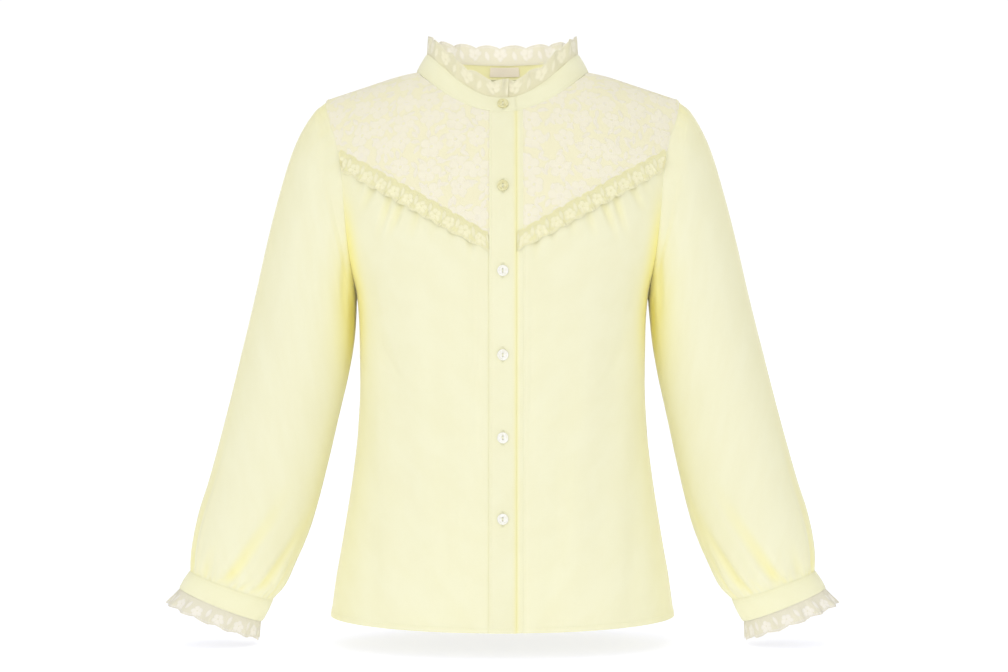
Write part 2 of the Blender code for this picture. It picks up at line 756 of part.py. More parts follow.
def button_mesh():
    """A disc with a raised rim and two holes, its back face at the origin and its front at +Z."""
    turned = bmesh.new()
    rings = []
    for radius, height in BUTTON_PROFILE:
        rings.append([
            turned.verts.new(Vector((
                radius * math.cos(2 * math.pi * i / BUTTON_SIDES),
                radius * math.sin(2 * math.pi * i / BUTTON_SIDES),
                height,
            )) * MM)
            for i in range(BUTTON_SIDES)
        ])
    for low, high in zip(rings, rings[1:]):
        for i in range(BUTTON_SIDES):
            k = (i + 1) % BUTTON_SIDES
            turned.faces.new((low[i], low[k], high[k], high[i]))
    turned.faces.new(rings[0][::-1])
    turned.faces.new(rings[-1])
    bmesh.ops.recalc_face_normals(turned, faces=turned.faces)
    disc = bpy.data.meshes.new("button_disc")
    turned.to_mesh(disc)
    turned.free()
    blank = bpy.data.objects.new("button_blank", disc)
    bpy.context.scene.collection.objects.link(blank)
    cutters = []
    for sign in (-1, 1):
        bpy.ops.mesh.primitive_cylinder_add(
            vertices=BUTTON_HOLE_SIDES, radius=BUTTON_HOLE_RADIUS * MM,
            depth=4 * BUTTON_THICK * MM, location=(0, sign * BUTTON_HOLE_APART * MM, 0),
        )
        cutter = bpy.context.object
        cutter.name = f"button_hole_{sign}"
        cutter.hide_render = True
        cutter.display_type = "WIRE"
        cutters.append(cutter)
        hole = blank.modifiers.new(cutter.name, "BOOLEAN")
        hole.object = cutter
        hole.operation = "DIFFERENCE"
        hole.solver = "EXACT"
    bpy.context.view_layer.update()
    graph = bpy.context.evaluated_depsgraph_get()
    done = bpy.data.meshes.new_from_object(blank.evaluated_get(graph))
    for thing in cutters + [blank]:
        bpy.data.objects.remove(thing, do_unlink=True)
    return done


def build_buttons(material):
    data = button_mesh()
    band_low, band_high = neck_point(0.0), band_top(0.0)
    spots = [((band_low + band_high) / 2, (band_high - band_low).normalized())]
    for z in BUTTON_HEIGHTS:
        low = body_point(BUTTON_X, z - BUTTON_RADIUS, True)
        high = body_point(BUTTON_X, z + BUTTON_RADIUS, True)
        spots.append(((low + high) / 2, (high - low).normalized()))
    for number, (spot, up) in enumerate(spots, 1):
        right = Vector((1, 0, 0))
        out = right.cross(up).normalized()
        spot = Vector((BUTTON_X, spot.y, spot.z)) + out * (PLACKET_PROUD + BUTTON_OFF)
        facing = Matrix((right, up, out)).transposed().to_4x4()
        thing = place(f"button_{number}", data if number == 1 else data.copy(), material)
        thing.matrix_world = Matrix.Translation(spot * MM) @ facing


def build_label(material):
    """A bare woven label inside the back of the band, on the band's own facets."""
    turns = band_turns()
    grid = [[], []]
    for offset in spread(-LABEL_WIDTH / 2, LABEL_WIDTH / 2, LABEL_STEPS):
        turn = math.pi - (offset + LABEL_X) / BAND_TOP_HALF
        k = max(i for i, at in enumerate(turns) if at <= turn)
        part = (turn - turns[k]) / (turns[k + 1] - turns[k])
        (high, low), (next_high, next_low) = band_edges(turns[k]), band_edges(turns[k + 1])
        high, low = high.lerp(next_high, part), low.lerp(next_low, part)
        up = (high - low).normalized()
        inward = (next_high - high).cross(up).normalized()
        if inward.y > 0:
            inward = -inward
        middle = (high + low) / 2 + inward * (BAND_WALL + SEAM_GAP)
        grid[0].append(middle + up * LABEL_HEIGHT / 2)
        grid[1].append(middle - up * LABEL_HEIGHT / 2)
    place("neck_label", wall_mesh("neck_label", grid, LABEL_THICK), material)


def main():
    clear_scene()
    cloth = finish("cloth", CREAM, 0.75)
    lace = finish("lace", LACE_CREAM, 0.85)
    yoke = finish("yoke_lace", LACE_CREAM, 0.8)
    pearl = finish("pearl", PEARL, 0.25)
    woven = finish("label", LABEL_PINK, 0.7)
    build_yokes(yoke)
    build_fronts(cloth)
    build_back(cloth)
    build_plackets(cloth)
    build_collar_band(cloth)
    build_collar_ruffle(lace)
    build_yoke_ruffles(lace)
    build_sleeves(cloth)
    build_cuffs(cloth, lace)
    build_buttons(pearl)
    build_label(woven)


main()
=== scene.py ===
"""The looks of a pale yellow blouse with a lace yoke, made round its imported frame.

Sizes are in millimetres, except in Studio, and MM makes them metres when a mesh is made. The
axes are the frame's: +Z is up, the front faces -Y, and +X is towards the wearer's left.
"""

import logging
import math
from collections.abc import Callable, Iterator, Sequence
from contextlib import contextmanager
from dataclasses import dataclass, field
from enum import Enum
from functools import partial, reduce
from typing import NamedTuple

import bpy
import numpy as np
from mathutils import Matrix, Vector


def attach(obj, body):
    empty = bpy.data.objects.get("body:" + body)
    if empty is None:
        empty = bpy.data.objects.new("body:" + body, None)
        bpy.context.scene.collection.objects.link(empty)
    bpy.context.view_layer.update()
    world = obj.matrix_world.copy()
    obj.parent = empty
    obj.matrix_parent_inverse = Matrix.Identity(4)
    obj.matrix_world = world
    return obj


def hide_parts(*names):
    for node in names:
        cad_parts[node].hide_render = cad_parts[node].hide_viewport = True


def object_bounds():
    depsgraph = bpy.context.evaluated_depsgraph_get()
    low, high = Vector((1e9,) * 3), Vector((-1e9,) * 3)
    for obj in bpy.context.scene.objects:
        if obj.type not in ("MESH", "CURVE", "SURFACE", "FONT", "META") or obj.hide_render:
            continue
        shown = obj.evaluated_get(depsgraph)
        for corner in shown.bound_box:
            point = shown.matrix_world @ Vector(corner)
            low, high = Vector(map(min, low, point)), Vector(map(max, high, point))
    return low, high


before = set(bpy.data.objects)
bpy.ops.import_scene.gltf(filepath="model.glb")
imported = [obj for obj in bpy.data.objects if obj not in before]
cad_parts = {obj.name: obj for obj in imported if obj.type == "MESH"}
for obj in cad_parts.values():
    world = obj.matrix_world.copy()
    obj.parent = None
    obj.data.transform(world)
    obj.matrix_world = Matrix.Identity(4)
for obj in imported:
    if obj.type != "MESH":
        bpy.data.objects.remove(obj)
CAD_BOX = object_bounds()

MM = 0.001
TURN = 2 * math.pi
ACROSS_END = 196.0
DOWN_START = 40.0
DOWN_END = -625.0
DOWN_STEP = 2.5
CLOTH_WALL = 0.6
DOUBLE_WALL = 0.9
LACE_WALL = 0.45
COLLAR_PITCH = 28.0
TRIM_PITCH = 19.0
PETALS = 5
NET_SLANT = 0.72
EYELET_PITCH = 2.5
# The mesh attribute that holds painted shade: how far the colour goes to a deeper yellow that
# stands in for shade.
PAINTED_SHADE_ATTRIBUTE = "fold"
BODY_NAME = "root"
Array = np.ndarray
Colour = tuple[float, float, float, float]

logging.basicConfig(level=logging.INFO, format="%(name)s: %(message)s")
log = logging.getLogger("blouse")


class Side(Enum):
    """A side of the wearer; its value is the sign of x there."""

    RIGHT = -1
    LEFT = 1

    @property
    def word(self) -> str:
        """The side's name as the nodes have it."""
        return self.name.lower()

    def mirror(self, points: Array) -> Array:
        """Points of the left side, moved to this side, or back."""
        return points * np.array([self.value, 1, 1])


class Slot(Enum):
    """The record's material slots."""

    CLOTH = "cloth"
    YOKE = "yoke_lace"
    LACE = "lace"
    PEARL = "pearl"
    LABEL = "label"


class Section(NamedTuple):
    """A level section of the body."""

    height: float
    half_width: float
    front: float
    back: float


class Armhole(NamedTuple):
    """Where the body panels stop and the sleeve starts, at a height."""

    height: float
    half_width: float


class SleeveRing(NamedTuple):
    """A section of a sleeve, from its outer point to its inner one, with x outwards."""

    outer_x: float
    outer_z: float
    inner_x: float
    inner_z: float
    half_depth: float
    forward: float


class Gather(NamedTuple):
    """A trough that falls from the yoke seam and fades."""

    start: float
    length: float
    drift: float
    depth: float
    half_width: float


class Crease(NamedTuple):
    """A trough of a sleeve, from the cuff upwards. Angles are in degrees, lengths in rings."""

    cuff_angle: float
    end_angle: float
    length: float
    depth: float
    half_angle: float


class Fold(NamedTuple):
    """A soft trough of the body, from (x, z) to (x, z). A negative depth makes a ridge."""

    start_x: float
    start_z: float
    end_x: float
    end_z: float
    depth: float
    half_width: float


BODY = [
    Section(*row)
    for row in (
        (0, 213, 116, 103), (-34, 212, 116, 103), (-60, 210, 116, 103), (-93, 206.7, 116, 103),
        (-121, 200.8, 116, 103), (-157, 192, 116.5, 103), (-200, 177, 117, 101),
        (-250, 159.5, 116, 96), (-290, 156.8, 112, 92), (-340, 156.3, 108, 90),
        (-400, 159, 109, 95), (-440, 163.4, 112, 100), (-480, 169.4, 115, 104),
        (-520, 176, 118, 107), (-560, 182.9, 120, 110), (-602, 188.4, 122, 112),
    )
]
ARMHOLE = [
    Armhole(*row)
    for row in (
        (-20, 193.0), (-34, 192.0), (-50, 190.5), (-64, 186.5), (-77, 181.5),
        (-93, 178.0), (-121, 173.0), (-157, 170.0), (-200, 166.0), (-250, 159.5),
    )
]
SLEEVE = [
    SleeveRing(*row)
    for row in (
        (204, -43, 160.6, -256, 59, 0), (214, -58, 161.2, -263, 61, 0),
        (224, -77, 161.8, -272, 61, 0), (233, -100, 162.4, -283, 60, 0),
        (242, -130, 163.6, -297, 59, 1), (251, -163, 166, -315, 58, 2),
        (260, -200, 170, -338, 57, 3), (269, -240, 175.5, -363, 56, 4),
        (279, -282, 181.5, -390, 55, 5), (290, -326, 188, -420, 54, 6),
        (301, -370, 194.5, -448, 53, 7), (312.5, -414, 201.5, -476, 53, 8),
        (323, -452, 208.5, -500, 53, 9), (333, -484, 217, -522, 52, 10),
        (338.5, -510, 226, -541, 49, 11), (341, -530, 233, -557, 43, 12),
        (341.5, -543, 241.5, -570.5, 34, 12), (341.5, -549, 251.5, -581, 27.5, 12),
    )
]
CUFF_TOP = SleeveRing(341.8, -549.6, 251.8, -581.8, 27.6, 12)
CUFF_LOW = SleeveRing(353.0, -567.6, 263.0, -604.0, 28.6, 13)
LACE_LOW = SleeveRing(369.0, -584.0, 264.0, -624.5, 36.0, 14)

GATHERS = [
    Gather(*row)
    for row in (
        (146, 44, 12, 1.4, 6.0), (131, 62, 24, 2.2, 6.5), (115, 78, 20, 2.8, 6.0),
        (101, 74, 24, 2.8, 6.0), (86, 58, 13, 2.0, 6.5), (69, 44, 8, 1.4, 6.5),
        (50, 38, 5, 1.2, 6.0), (33, 46, 3, 1.4, 6.0),
    )
]
CREASES = [
    Crease(*row)
    for row in (
        (24, 31, 7.5, 2.2, 9), (50, 62, 3.5, 2.2, 11), (78, 120, 6.5, 5.0, 12),
        (104, 122, 2.5, 2.4, 9), (122, 160, 6.5, 4.6, 12), (154, 163, 8, 1.8, 8),
        (176, 180, 3, 2.2, 11), (206, 190, 5, 3.6, 14), (244, 226, 4, 3.2, 14),
        (283, 252, 6.5, 4.4, 13), (308, 300, 3, 2.2, 10), (334, 328, 7, 2.0, 10),
    )
]
FRONT_FOLDS = [
    Fold(*row)
    for row in (
        (121, -215, 96, -560, 1.3, 20), (92, -230, 66, -590, -1.0, 17),
        (66, -260, 45, -600, 0.9, 15), (30, -205, 27, -420, 0.7, 4.5),
        (146, -300, 133, -600, 1.4, 15), (148, -205, 118, -330, 1.2, 10),
        (150, -270, 104, -345, 0.9, 9),
    )
]
BACK_FOLDS = [
    Fold(*row)
    for row in (
        (20, -150, 26, -600, 1.4, 22), (62, -190, 74, -600, -1.5, 24),
        (104, -230, 118, -600, 1.6, 20), (140, -235, 100, -330, 1.6, 12),
        (143, -262, 96, -385, 1.4, 11), (150, -120, 120, -215, 1.5, 13),
        (146, -350, 60, -372, 1.0, 10),
    )
]


def spread(count: int, power: float = 1.0) -> Array:
    """Places from 0 to 1, closer together at the start where the power is above 1."""
    return np.linspace(0, 1, count) ** power


def stacked(*parts: Array) -> Array:
    """Points from their coordinates, which are broadcast to one shape."""
    return np.stack(np.broadcast_arrays(*parts), -1)


def unit(vectors: Array) -> Array:
    """The vectors at length 1."""
    return vectors / np.maximum(np.linalg.norm(vectors, axis=-1, keepdims=True), 1e-9)


def fade(part: Array | float) -> Array:
    """A smooth step from 0 to 1."""
    part = np.clip(part, 0.0, 1.0)
    return part * part * (3 - 2 * part)


def hill(off: Array) -> Array:
    """A soft hill, 1 at 0 and nothing from 1 outwards."""
    return np.where(np.abs(off) < 1, np.cos(np.clip(off, -1, 1) * math.pi / 2) ** 2, 0.0)


def bell(off: Array, width: float) -> Array:
    """A bell curve, 1 at 0 and about a third at this width."""
    return np.exp(-((off / width) ** 2))


def pucker(place: Array, pitch: float, seed: float) -> Array:
    """Uneven small waves along a seam.

    Args:
        place: distances along the seam.
        pitch: the usual distance between waves.
        seed: a number that makes one seam differ from the next.

    Returns:
        Heights from 0 to 1.
    """
    turn = TURN * place / pitch
    drift = 1.9 * np.sin(turn * 0.137 + seed) + 1.1 * np.sin(turn * 0.291 + 2.3 * seed)
    size = 0.65 + 0.35 * np.sin(turn * 0.211 + 1.7 * seed)
    return (0.5 + 0.5 * np.sin(turn + drift)) * size


def drawn(place: Array, pitch: float, seed: float, height: float) -> Array:
    """How stitches draw the cloth in and out along a seam: puckers about its own surface."""
    return height * (pucker(place, pitch, seed) - 0.5)


def between(table: Array, i: Array, j: Array) -> Array:
    """Values of a table at places between its rows and columns."""
    low_i = np.clip(i, 0, table.shape[0] - 1.001).astype(int)
    low_j = np.clip(j, 0, table.shape[1] - 1.001).astype(int)
    part_i, part_j = i - low_i, j - low_j
    first = table[low_i, low_j] * (1 - part_j) + table[low_i, low_j + 1] * part_j
    second = table[low_i + 1, low_j] * (1 - part_j) + table[low_i + 1, low_j + 1] * part_j
    return first * (1 - part_i) + second * part_i


class Profile:
    """A smooth curve through rows of (place, value) that never overshoots them."""

    def __init__(self, rows: Sequence[tuple[float, float]], step: float = 0.5) -> None:
        """Samples the curve.

        Args:
            rows: the places and the values there, in any order.
            step: the distance between samples, as a share of a unit of place.
        """
        places, values = np.array(sorted(rows), float).T
        slopes = np.diff(values) / np.diff(places)
        before, after = slopes[:-1], slopes[1:]
        same = before * after > 0
        total = np.where(same, before + after, 1.0)
        inner = np.where(same, 2 * before * after / total, 0.0)
        tangents = np.concatenate([slopes[:1], inner, slopes[-1:]])
        count = int((places[-1] - places[0]) / step) + 2
        self.places = np.linspace(places[0], places[-1], count)
        i = np.clip(np.searchsorted(places, self.places, "right") - 1, 0, len(slopes) - 1)
        span = places[i + 1] - places[i]
        t = (self.places - places[i]) / span
        self.values = (
            (2 * t**3 - 3 * t**2 + 1) * values[i]
            + (t**3 - 2 * t**2 + t) * span * tangents[i]
            + (3 * t**2 - 2 * t**3) * values[i + 1]
            + (t**3 - t**2) * span * tangents[i + 1]
        )

    def __call__(self, at: Array | float) -> Array:
        """The curve's value at each place."""
        return np.interp(at, self.places, self.values)


@dataclass
class BodyForm:
    """The body's surface: superellipse sections under a shoulder line."""

    roundness: float = 2.3
    neck_half: float = 95.0
    shoulder_top: float = -1.0
    shoulder_slope: float = 0.33
    shoulder_soft: float = 30.0
    front_rise: float = 210.0
    back_rise: float = 150.0
    nape_lift: float = 31.0
    neck_drop: float = 50.7
    neck_power: float = 1.05
    nape_drop: float = 0.5
    underarm: float = -250.0
    seam_gap: float = 0.3
    yoke_side: tuple[float, float] = (178.0, -93.0)
    yoke_point: tuple[float, float] = (14.0, -187.0)
    hem_side: float = -598.0
    hem_front: float = -603.3
    hem_back: float = -600.5
    placket_right: float = -13.8
    placket_left: float = 14.3
    under_right: float = -11.5
    under_left: float = 22.5

    def __post_init__(self) -> None:
        """Draws the curves through the tables."""
        self.half_width = Profile([(row.height, row.half_width) for row in BODY])
        self.front = Profile([(row.height, row.front) for row in BODY])
        self.back = Profile([(row.height, row.back) for row in BODY])
        self.armhole = Profile([(row.height, row.half_width) for row in ARMHOLE])
        self.neck_side = self.shoulder_top - self.shoulder_slope * self.shoulder_soft / 4
        reach = ARMHOLE[1].half_width - self.neck_half
        self.shoulder_tip = self.shoulder_top - self.shoulder_slope * reach

    def shoulder(self, x: Array) -> Array:
        """Height of the shoulder line, with a soft bend at the neck."""
        off, soft = np.abs(x) - self.neck_half, self.shoulder_soft
        bend = np.maximum(0.0, off + soft) ** 2 / (4 * soft)
        return self.shoulder_top - self.shoulder_slope * np.where(off < soft, bend, off)

    def edge_width(self, z: Array) -> Array:
        """Where a body panel ends: at the armhole, and below it at the side seam."""
        return np.where(z > self.underarm, self.armhole(z), self.half_width(z))

    def depth(self, x: Array, z: Array, front: Array | bool) -> Array:
        """How far the cloth stands from the plane of the seams."""
        half = self.half_width(z)
        lift = self.nape_lift * np.maximum(0.0, 1 - (x / self.neck_half) ** 2) ** 2
        top = self.shoulder(x) + np.where(front, 0.0, lift)
        rise = np.where(front, self.front_rise, self.back_rise)
        full = np.where(front, self.front(z), self.back(z))
        part = np.clip((top - z) / rise, 0, 1)
        inside = np.maximum(0.0, 1 - (np.minimum(np.abs(x), half) / half) ** self.roundness)
        return full * np.sqrt(1 - (1 - part) ** 2) * inside ** (1 / self.roundness)

    def point(self, x: Array, z: Array, front: Array | bool, out: Array | float = 0.0) -> Array:
        """Points of the outer surface, moved away from the seam plane by `out`."""
        away = self.depth(x, z, front) + self.seam_gap / 2 + out
        return np.stack([x, np.where(front, -away, away), z], axis=-1)

    def neck_height(self, x: Array, front: Array | bool) -> Array:
        """Height of the seam between the body and the collar band."""
        part = np.maximum(0.0, 1 - (x / self.neck_half) ** 2)
        low = self.neck_drop * part**self.neck_power
        return self.neck_side - np.where(front, low, self.nape_drop * part)

    def top_edge(self, x: Array, front: bool) -> Array:
        """Upper edge of a body panel: the neck seam, then the shoulder seam."""
        return np.where(np.abs(x) < self.neck_half, self.neck_height(x, front), self.shoulder(x))

    def yoke_seam(self, x: Array) -> Array:
        """Height of the yoke seam."""
        part = (np.abs(x) - self.yoke_point[0]) / (self.yoke_side[0] - self.yoke_point[0])
        return self.yoke_point[1] + (self.yoke_side[1] - self.yoke_point[1]) * part

    def hem(self, x: Array, front: bool) -> Array:
        """Height of the hem."""
        part = np.minimum(np.abs(x) / BODY[-1].half_width, 1.0)
        centre = self.hem_front if front else self.hem_back
        return centre + (self.hem_side - centre) * part**2

    def angle(self, x: Array, z: Array) -> Array:
        """How far round the section a place lies, from 0 at the centre."""
        half = self.half_width(z)
        return np.arcsin(np.minimum(1.0, (np.minimum(x, half) / half) ** (self.roundness / 2)))

    def across(self, part: Array, z: Array, inner_x: float) -> Array:
        """x at a part of the way from inner_x to the panel's edge, in equal turns."""
        first = self.angle(np.full_like(z, inner_x), z)
        last = self.angle(self.edge_width(z), z)
        turn = first + (last - first) * part
        return self.half_width(z) * np.sin(turn) ** (2 / self.roundness)

    def flat(self, x: Array, z: Array, front: bool) -> tuple[Array, Array]:
        """Places on the cloth laid flat: lengths along it from the centre and from the top."""
        across = np.arange(0.0, ACROSS_END)
        down = np.arange(DOWN_START, DOWN_END, -DOWN_STEP)
        depth = self.depth(across[None, :], down[:, None], front)
        run_x = np.cumsum(np.hypot(np.diff(depth, axis=1, prepend=depth[:, :1]), 1.0), axis=1)
        run_z = np.cumsum(np.hypot(np.diff(depth, axis=0, prepend=depth[:1]), DOWN_STEP), axis=0)
        i, j = (DOWN_START - z) / DOWN_STEP, np.abs(x)
        return np.copysign(between(run_x, i, j), x), between(run_z, i, j)

    def grid(
        self,
        columns: Array,
        rows: Array,
        inner_x: float,
        front: bool,
        top: Callable[[Array], Array],
        bottom: Callable[[Array], Array],
    ) -> Array:
        """Points of a panel of the left side, in rows from its top line to its bottom line.

        Args:
            columns: parts of the way from inner_x to the panel's outer edge.
            rows: parts of the way from the top line to the bottom line.
            inner_x: x of the panel's inner edge.
            front: whether this is the front of the body.
            top: height of the upper edge over x.
            bottom: height of the lower edge over x.

        Returns:
            The points, as rows by columns by 3.
        """
        ends = []
        for line in (top, bottom):
            z = line(np.full_like(columns, inner_x))
            for _ in range(12):
                z = line(self.across(columns, z, inner_x))
            ends.append(z)
        z = ends[0] + (ends[1] - ends[0]) * rows[:, None]
        x = self.across(np.broadcast_to(columns, z.shape), z, inner_x)
        return self.point(x, z, front)


FORM = BodyForm()


def deselect() -> None:
    """Leaves nothing selected, so that an operator acts on one piece."""
    for thing in bpy.context.selected_objects:
        thing.select_set(False)


def only(piece: bpy.types.Object) -> None:
    """Selects one object and makes it active."""
    deselect()
    piece.select_set(True)
    bpy.context.view_layer.objects.active = piece


def put(name: str, data: bpy.types.ID) -> bpy.types.Object:
    """A new object in the scene, with this mesh, lamp or camera."""
    thing = bpy.data.objects.new(name, data)
    bpy.context.scene.collection.objects.link(thing)
    return thing


@contextmanager
def editing(select: str | None = None) -> Iterator[None]:
    """Edit mode on the active mesh, with all of it or none of it selected first if asked."""
    bpy.ops.object.mode_set(mode="EDIT")
    if select:
        bpy.ops.mesh.select_all(action=select)
    yield
    bpy.ops.object.mode_set(mode="OBJECT")


def corners(mesh: bpy.types.Mesh) -> Array:
    """The vertex at each corner of each face."""
    found = np.zeros(len(mesh.loops), int)
    mesh.loops.foreach_get("vertex_index", found)
    return found


def apply_all(piece: bpy.types.Object) -> None:
    """Applies each of a piece's modifiers in order."""
    only(piece)
    for modifier in list(piece.modifiers):
        bpy.ops.object.modifier_apply(modifier=modifier.name)


def dress(piece: bpy.types.Object, finish: bpy.types.Material, slot: Slot, *nodes: str) -> None:
    """Gives a piece its finish and its body, and hides the frame's nodes that it stands for.

    Args:
        piece: the finished mesh, in place.
        finish: its material.
        slot: not used.
        nodes: the frame's nodes that it replaces.
    """
    piece.data.materials.clear()
    piece.data.materials.append(finish)
    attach(piece, BODY_NAME)
    if nodes:
        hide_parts(*nodes)
    log.info("%s: %d faces", piece.name, len(piece.data.polygons))


@dataclass
class Cut:
    """The flat size that a piece of cloth was cut to, in millimetres."""

    width: float
    length: float
    share: float = 1.0

    def declare(self, piece: bpy.types.Object) -> None:
        """Logs how much cloth the piece has, and what share of its cut that is.

        Args:
            piece: the sheet.
        """
        area = self.width * self.length * self.share * MM * MM
        cloth = sum(face.area for face in piece.data.polygons) / 2
        log.info("%s: %.4f m2 of cloth, %.2f of its cut", piece.name, cloth, cloth / area)
        self.width * MM


class Panel:
    """A sheet of cloth as a grid of points, in rows from its upper edge down."""

    def __init__(self, name: str, points: Array, wrap: bool = False) -> None:
        """Keeps the grid and finds its outward side.

        Args:
            name: the piece's name.
            points: rows by columns by 3, in millimetres.
            wrap: whether the last column meets the first, as in a tube.
        """
        self.name = name
        self.wrap = wrap
        self.points = points
        # Painted shade at each point, 0 to 1: a deeper yellow that stands in for shade in folds and
        # hollows.
        self.fold = np.zeros(points.shape[:2])
        outs = self.normals()
        core = points.mean(axis=1, keepdims=True) if wrap else points * np.array([0, 0, 1])
        self.flip = float(((points - core) * outs).sum()) < 0
        self.outs = -outs if self.flip else outs

    def normals(self) -> Array:
        """Unit normals, by the cross product of the grid's two directions."""
        if self.wrap:
            ring = self.points[:, :-1]
            side = np.roll(ring, -1, axis=1) - np.roll(ring, 1, axis=1)
            side = np.concatenate([side, side[:, :1]], axis=1)
        else:
            side = np.gradient(self.points, axis=1)
        normal = np.cross(side, np.gradient(self.points, axis=0))
        size = np.linalg.norm(normal, axis=-1, keepdims=True)
        return normal / np.maximum(size, 1e-9)

    def lift(self, height: Array | float) -> "Panel":
        """Moves each point outwards by its height.

        Args:
            height: one number for each point, or one for all.

        Returns:
            The panel itself.
        """
        self.points = self.points + self.outs * np.asarray(height)[..., None]
        outs = self.normals()
        self.outs = -outs if self.flip else outs
        return self

    def lengths(self) -> tuple[Array, Array]:
        """Distances along each row from its first column, and down each column."""
        across = np.linalg.norm(np.diff(self.points, axis=1), axis=-1)
        down = np.linalg.norm(np.diff(self.points, axis=0), axis=-1)
        u = np.pad(np.cumsum(across, axis=1), ((0, 0), (1, 0)))
        v = np.pad(np.cumsum(down, axis=0), ((1, 0), (0, 0)))
        return u, v

    def line(self, row: float | None = None, column: float | None = None) -> "Seam":
        """A line across the panel, for stitches.

        Args:
            row: a place among the rows, which may lie between two of them.
            column: a place among the columns instead.

        Returns:
            The line's points and its outward directions.
        """
        axis, place = (0, row) if column is None else (1, column)
        low = int(min(max(place, 0), self.points.shape[axis] - 2))
        part = place - low
        found = []
        for grid in (self.points, self.outs):
            first, second = np.take(grid, low, axis), np.take(grid, low + 1, axis)
            found.append(first + (second - first) * part)
        return Seam(*found)

    def tuck(self, axis: int, first: bool, along: float = 1.8, under: float = 1.1) -> "Panel":
        """Adds a seam allowance: one more row or column, on past the edge and below it.

        Args:
            axis: 0 for a row, 1 for a column.
            first: whether it comes before the first one, or else after the last one.
            along: how far it runs on.
            under: how far it sinks.

        Returns:
            The panel itself.
        """
        grid, outs = np.moveaxis(self.points, axis, 0), np.moveaxis(self.outs, axis, 0)
        edge, inner, out = (grid[0], grid[1], outs[0]) if first else (grid[-1], grid[-2], outs[-1])
        flap = edge + unit(edge - inner) * along - out * under
        parts = (flap[None], grid) if first else (grid, flap[None])
        self.points = np.moveaxis(np.concatenate(parts), 0, axis)
        sides = (out[None], outs) if first else (outs, out[None])
        self.outs = np.moveaxis(np.concatenate(sides), 0, axis)
        # The seam allowance keeps the painted shade of the edge that it continues.
        tone = np.moveaxis(self.fold, axis, 0)
        tones = (tone[:1], tone) if first else (tone, tone[-1:])
        self.fold = np.moveaxis(np.concatenate(tones), 0, axis)
        return self

    def make(self, thickness: float, uv: tuple[Array, Array] | None = None) -> bpy.types.Object:
        """Lays a flat grid of cloth on the points and gives it its thickness.

        Args:
            thickness: the wall, inwards from the points.
            uv: the pattern's place at each point; the sheet's own lengths otherwise.

        Returns:
            The finished object.
        """
        rows, columns = self.points.shape[:2]
        deselect()
        bpy.ops.mesh.primitive_grid_add(
            x_subdivisions=columns - 1, y_subdivisions=rows - 1, size=2, calc_uvs=True
        )
        piece = bpy.context.object
        piece.name = piece.data.name = self.name
        mesh = piece.data
        flat = np.zeros(len(mesh.vertices) * 3)
        mesh.vertices.foreach_get("co", flat)
        flat = flat.reshape(-1, 3)
        i = np.rint((flat[:, 0] + 1) / 2 * (columns - 1)).astype(int)
        j = np.rint((flat[:, 1] + 1) / 2 * (rows - 1)).astype(int)
        mesh.vertices.foreach_set("co", (self.points[j, i] * MM).ravel())
        u, v = uv or self.lengths()
        places = np.stack([u[j, i], v[j, i]], axis=-1)[corners(mesh)] * MM
        mesh.uv_layers.active.data.foreach_set("uv", places.ravel())
        # The painted shade goes on the mesh as a point attribute, which the cloth and lace
        # materials read.
        tone = mesh.attributes.new(PAINTED_SHADE_ATTRIBUTE, "FLOAT", "POINT")
        tone.data.foreach_set("value", np.clip(self.fold, 0, 1)[j, i].ravel())
        if self.flip:
            mesh.flip_normals()
        if self.wrap:
            with editing("SELECT"):
                bpy.ops.mesh.remove_doubles(threshold=0.01 * MM)
        wall = piece.modifiers.new("thickness", "SOLIDIFY")
        wall.thickness = thickness * MM
        wall.offset = -1
        wall.use_rim = True
        apply_all(piece)
        bpy.ops.object.shade_smooth_by_angle(angle=math.radians(60))
        return piece


class Seam(NamedTuple):
    """A line on the cloth and the outward direction along it."""

    points: Array
    outs: Array

    def at(self, places: Array, nudge: float = 0.5) -> tuple[Array, Array, Array]:
        """Points, outward directions and running directions at distances along the line."""
        steps = np.linalg.norm(np.diff(self.points, axis=0), axis=-1)
        run = np.concatenate([[0.0], np.cumsum(steps)])

        def read(table: Array, spots: Array) -> Array:
            """The table's values at these distances."""
            return np.stack([np.interp(spots, run, column) for column in table.T], -1)

        way = read(self.points, places + nudge) - read(self.points, places - nudge)
        return read(self.points, places), unit(read(self.outs, places)), unit(way)

    @property
    def length(self) -> float:
        """The line's length."""
        return float(np.linalg.norm(np.diff(self.points, axis=0), axis=-1).sum())


class Value:
    """A number in a shader tree. Arithmetic on it adds Math nodes."""

    def __init__(self, graph: "Graph", socket: bpy.types.NodeSocket) -> None:
        """Keeps the socket and the graph that it belongs to."""
        self.graph = graph
        self.socket = socket

    def __add__(self, other: object) -> "Value":
        """The sum."""
        return self.graph.math("ADD", self, other)

    def __sub__(self, other: object) -> "Value":
        """The difference."""
        return self.graph.math("SUBTRACT", self, other)

    def __rsub__(self, other: object) -> "Value":
        """Another number less this one."""
        return self.graph.math("SUBTRACT", other, self)

    def __mul__(self, other: object) -> "Value":
        """The product."""
        return self.graph.math("MULTIPLY", self, other)

    def __truediv__(self, other: object) -> "Value":
        """The quotient."""
        return self.graph.math("DIVIDE", self, other)

    def __rtruediv__(self, other: object) -> "Value":
        """Another number divided by this one."""
        return self.graph.math("DIVIDE", other, self)

    def __abs__(self) -> "Value":
        """The size without its sign."""
        return self.graph.math("ABSOLUTE", self)

    def scaled(self, factor: float, plus: object, clamp: bool = False) -> "Value":
        """This times a factor, plus something, in one node."""
        return self.graph.math("MULTIPLY_ADD", self, factor, plus, clamp=clamp)


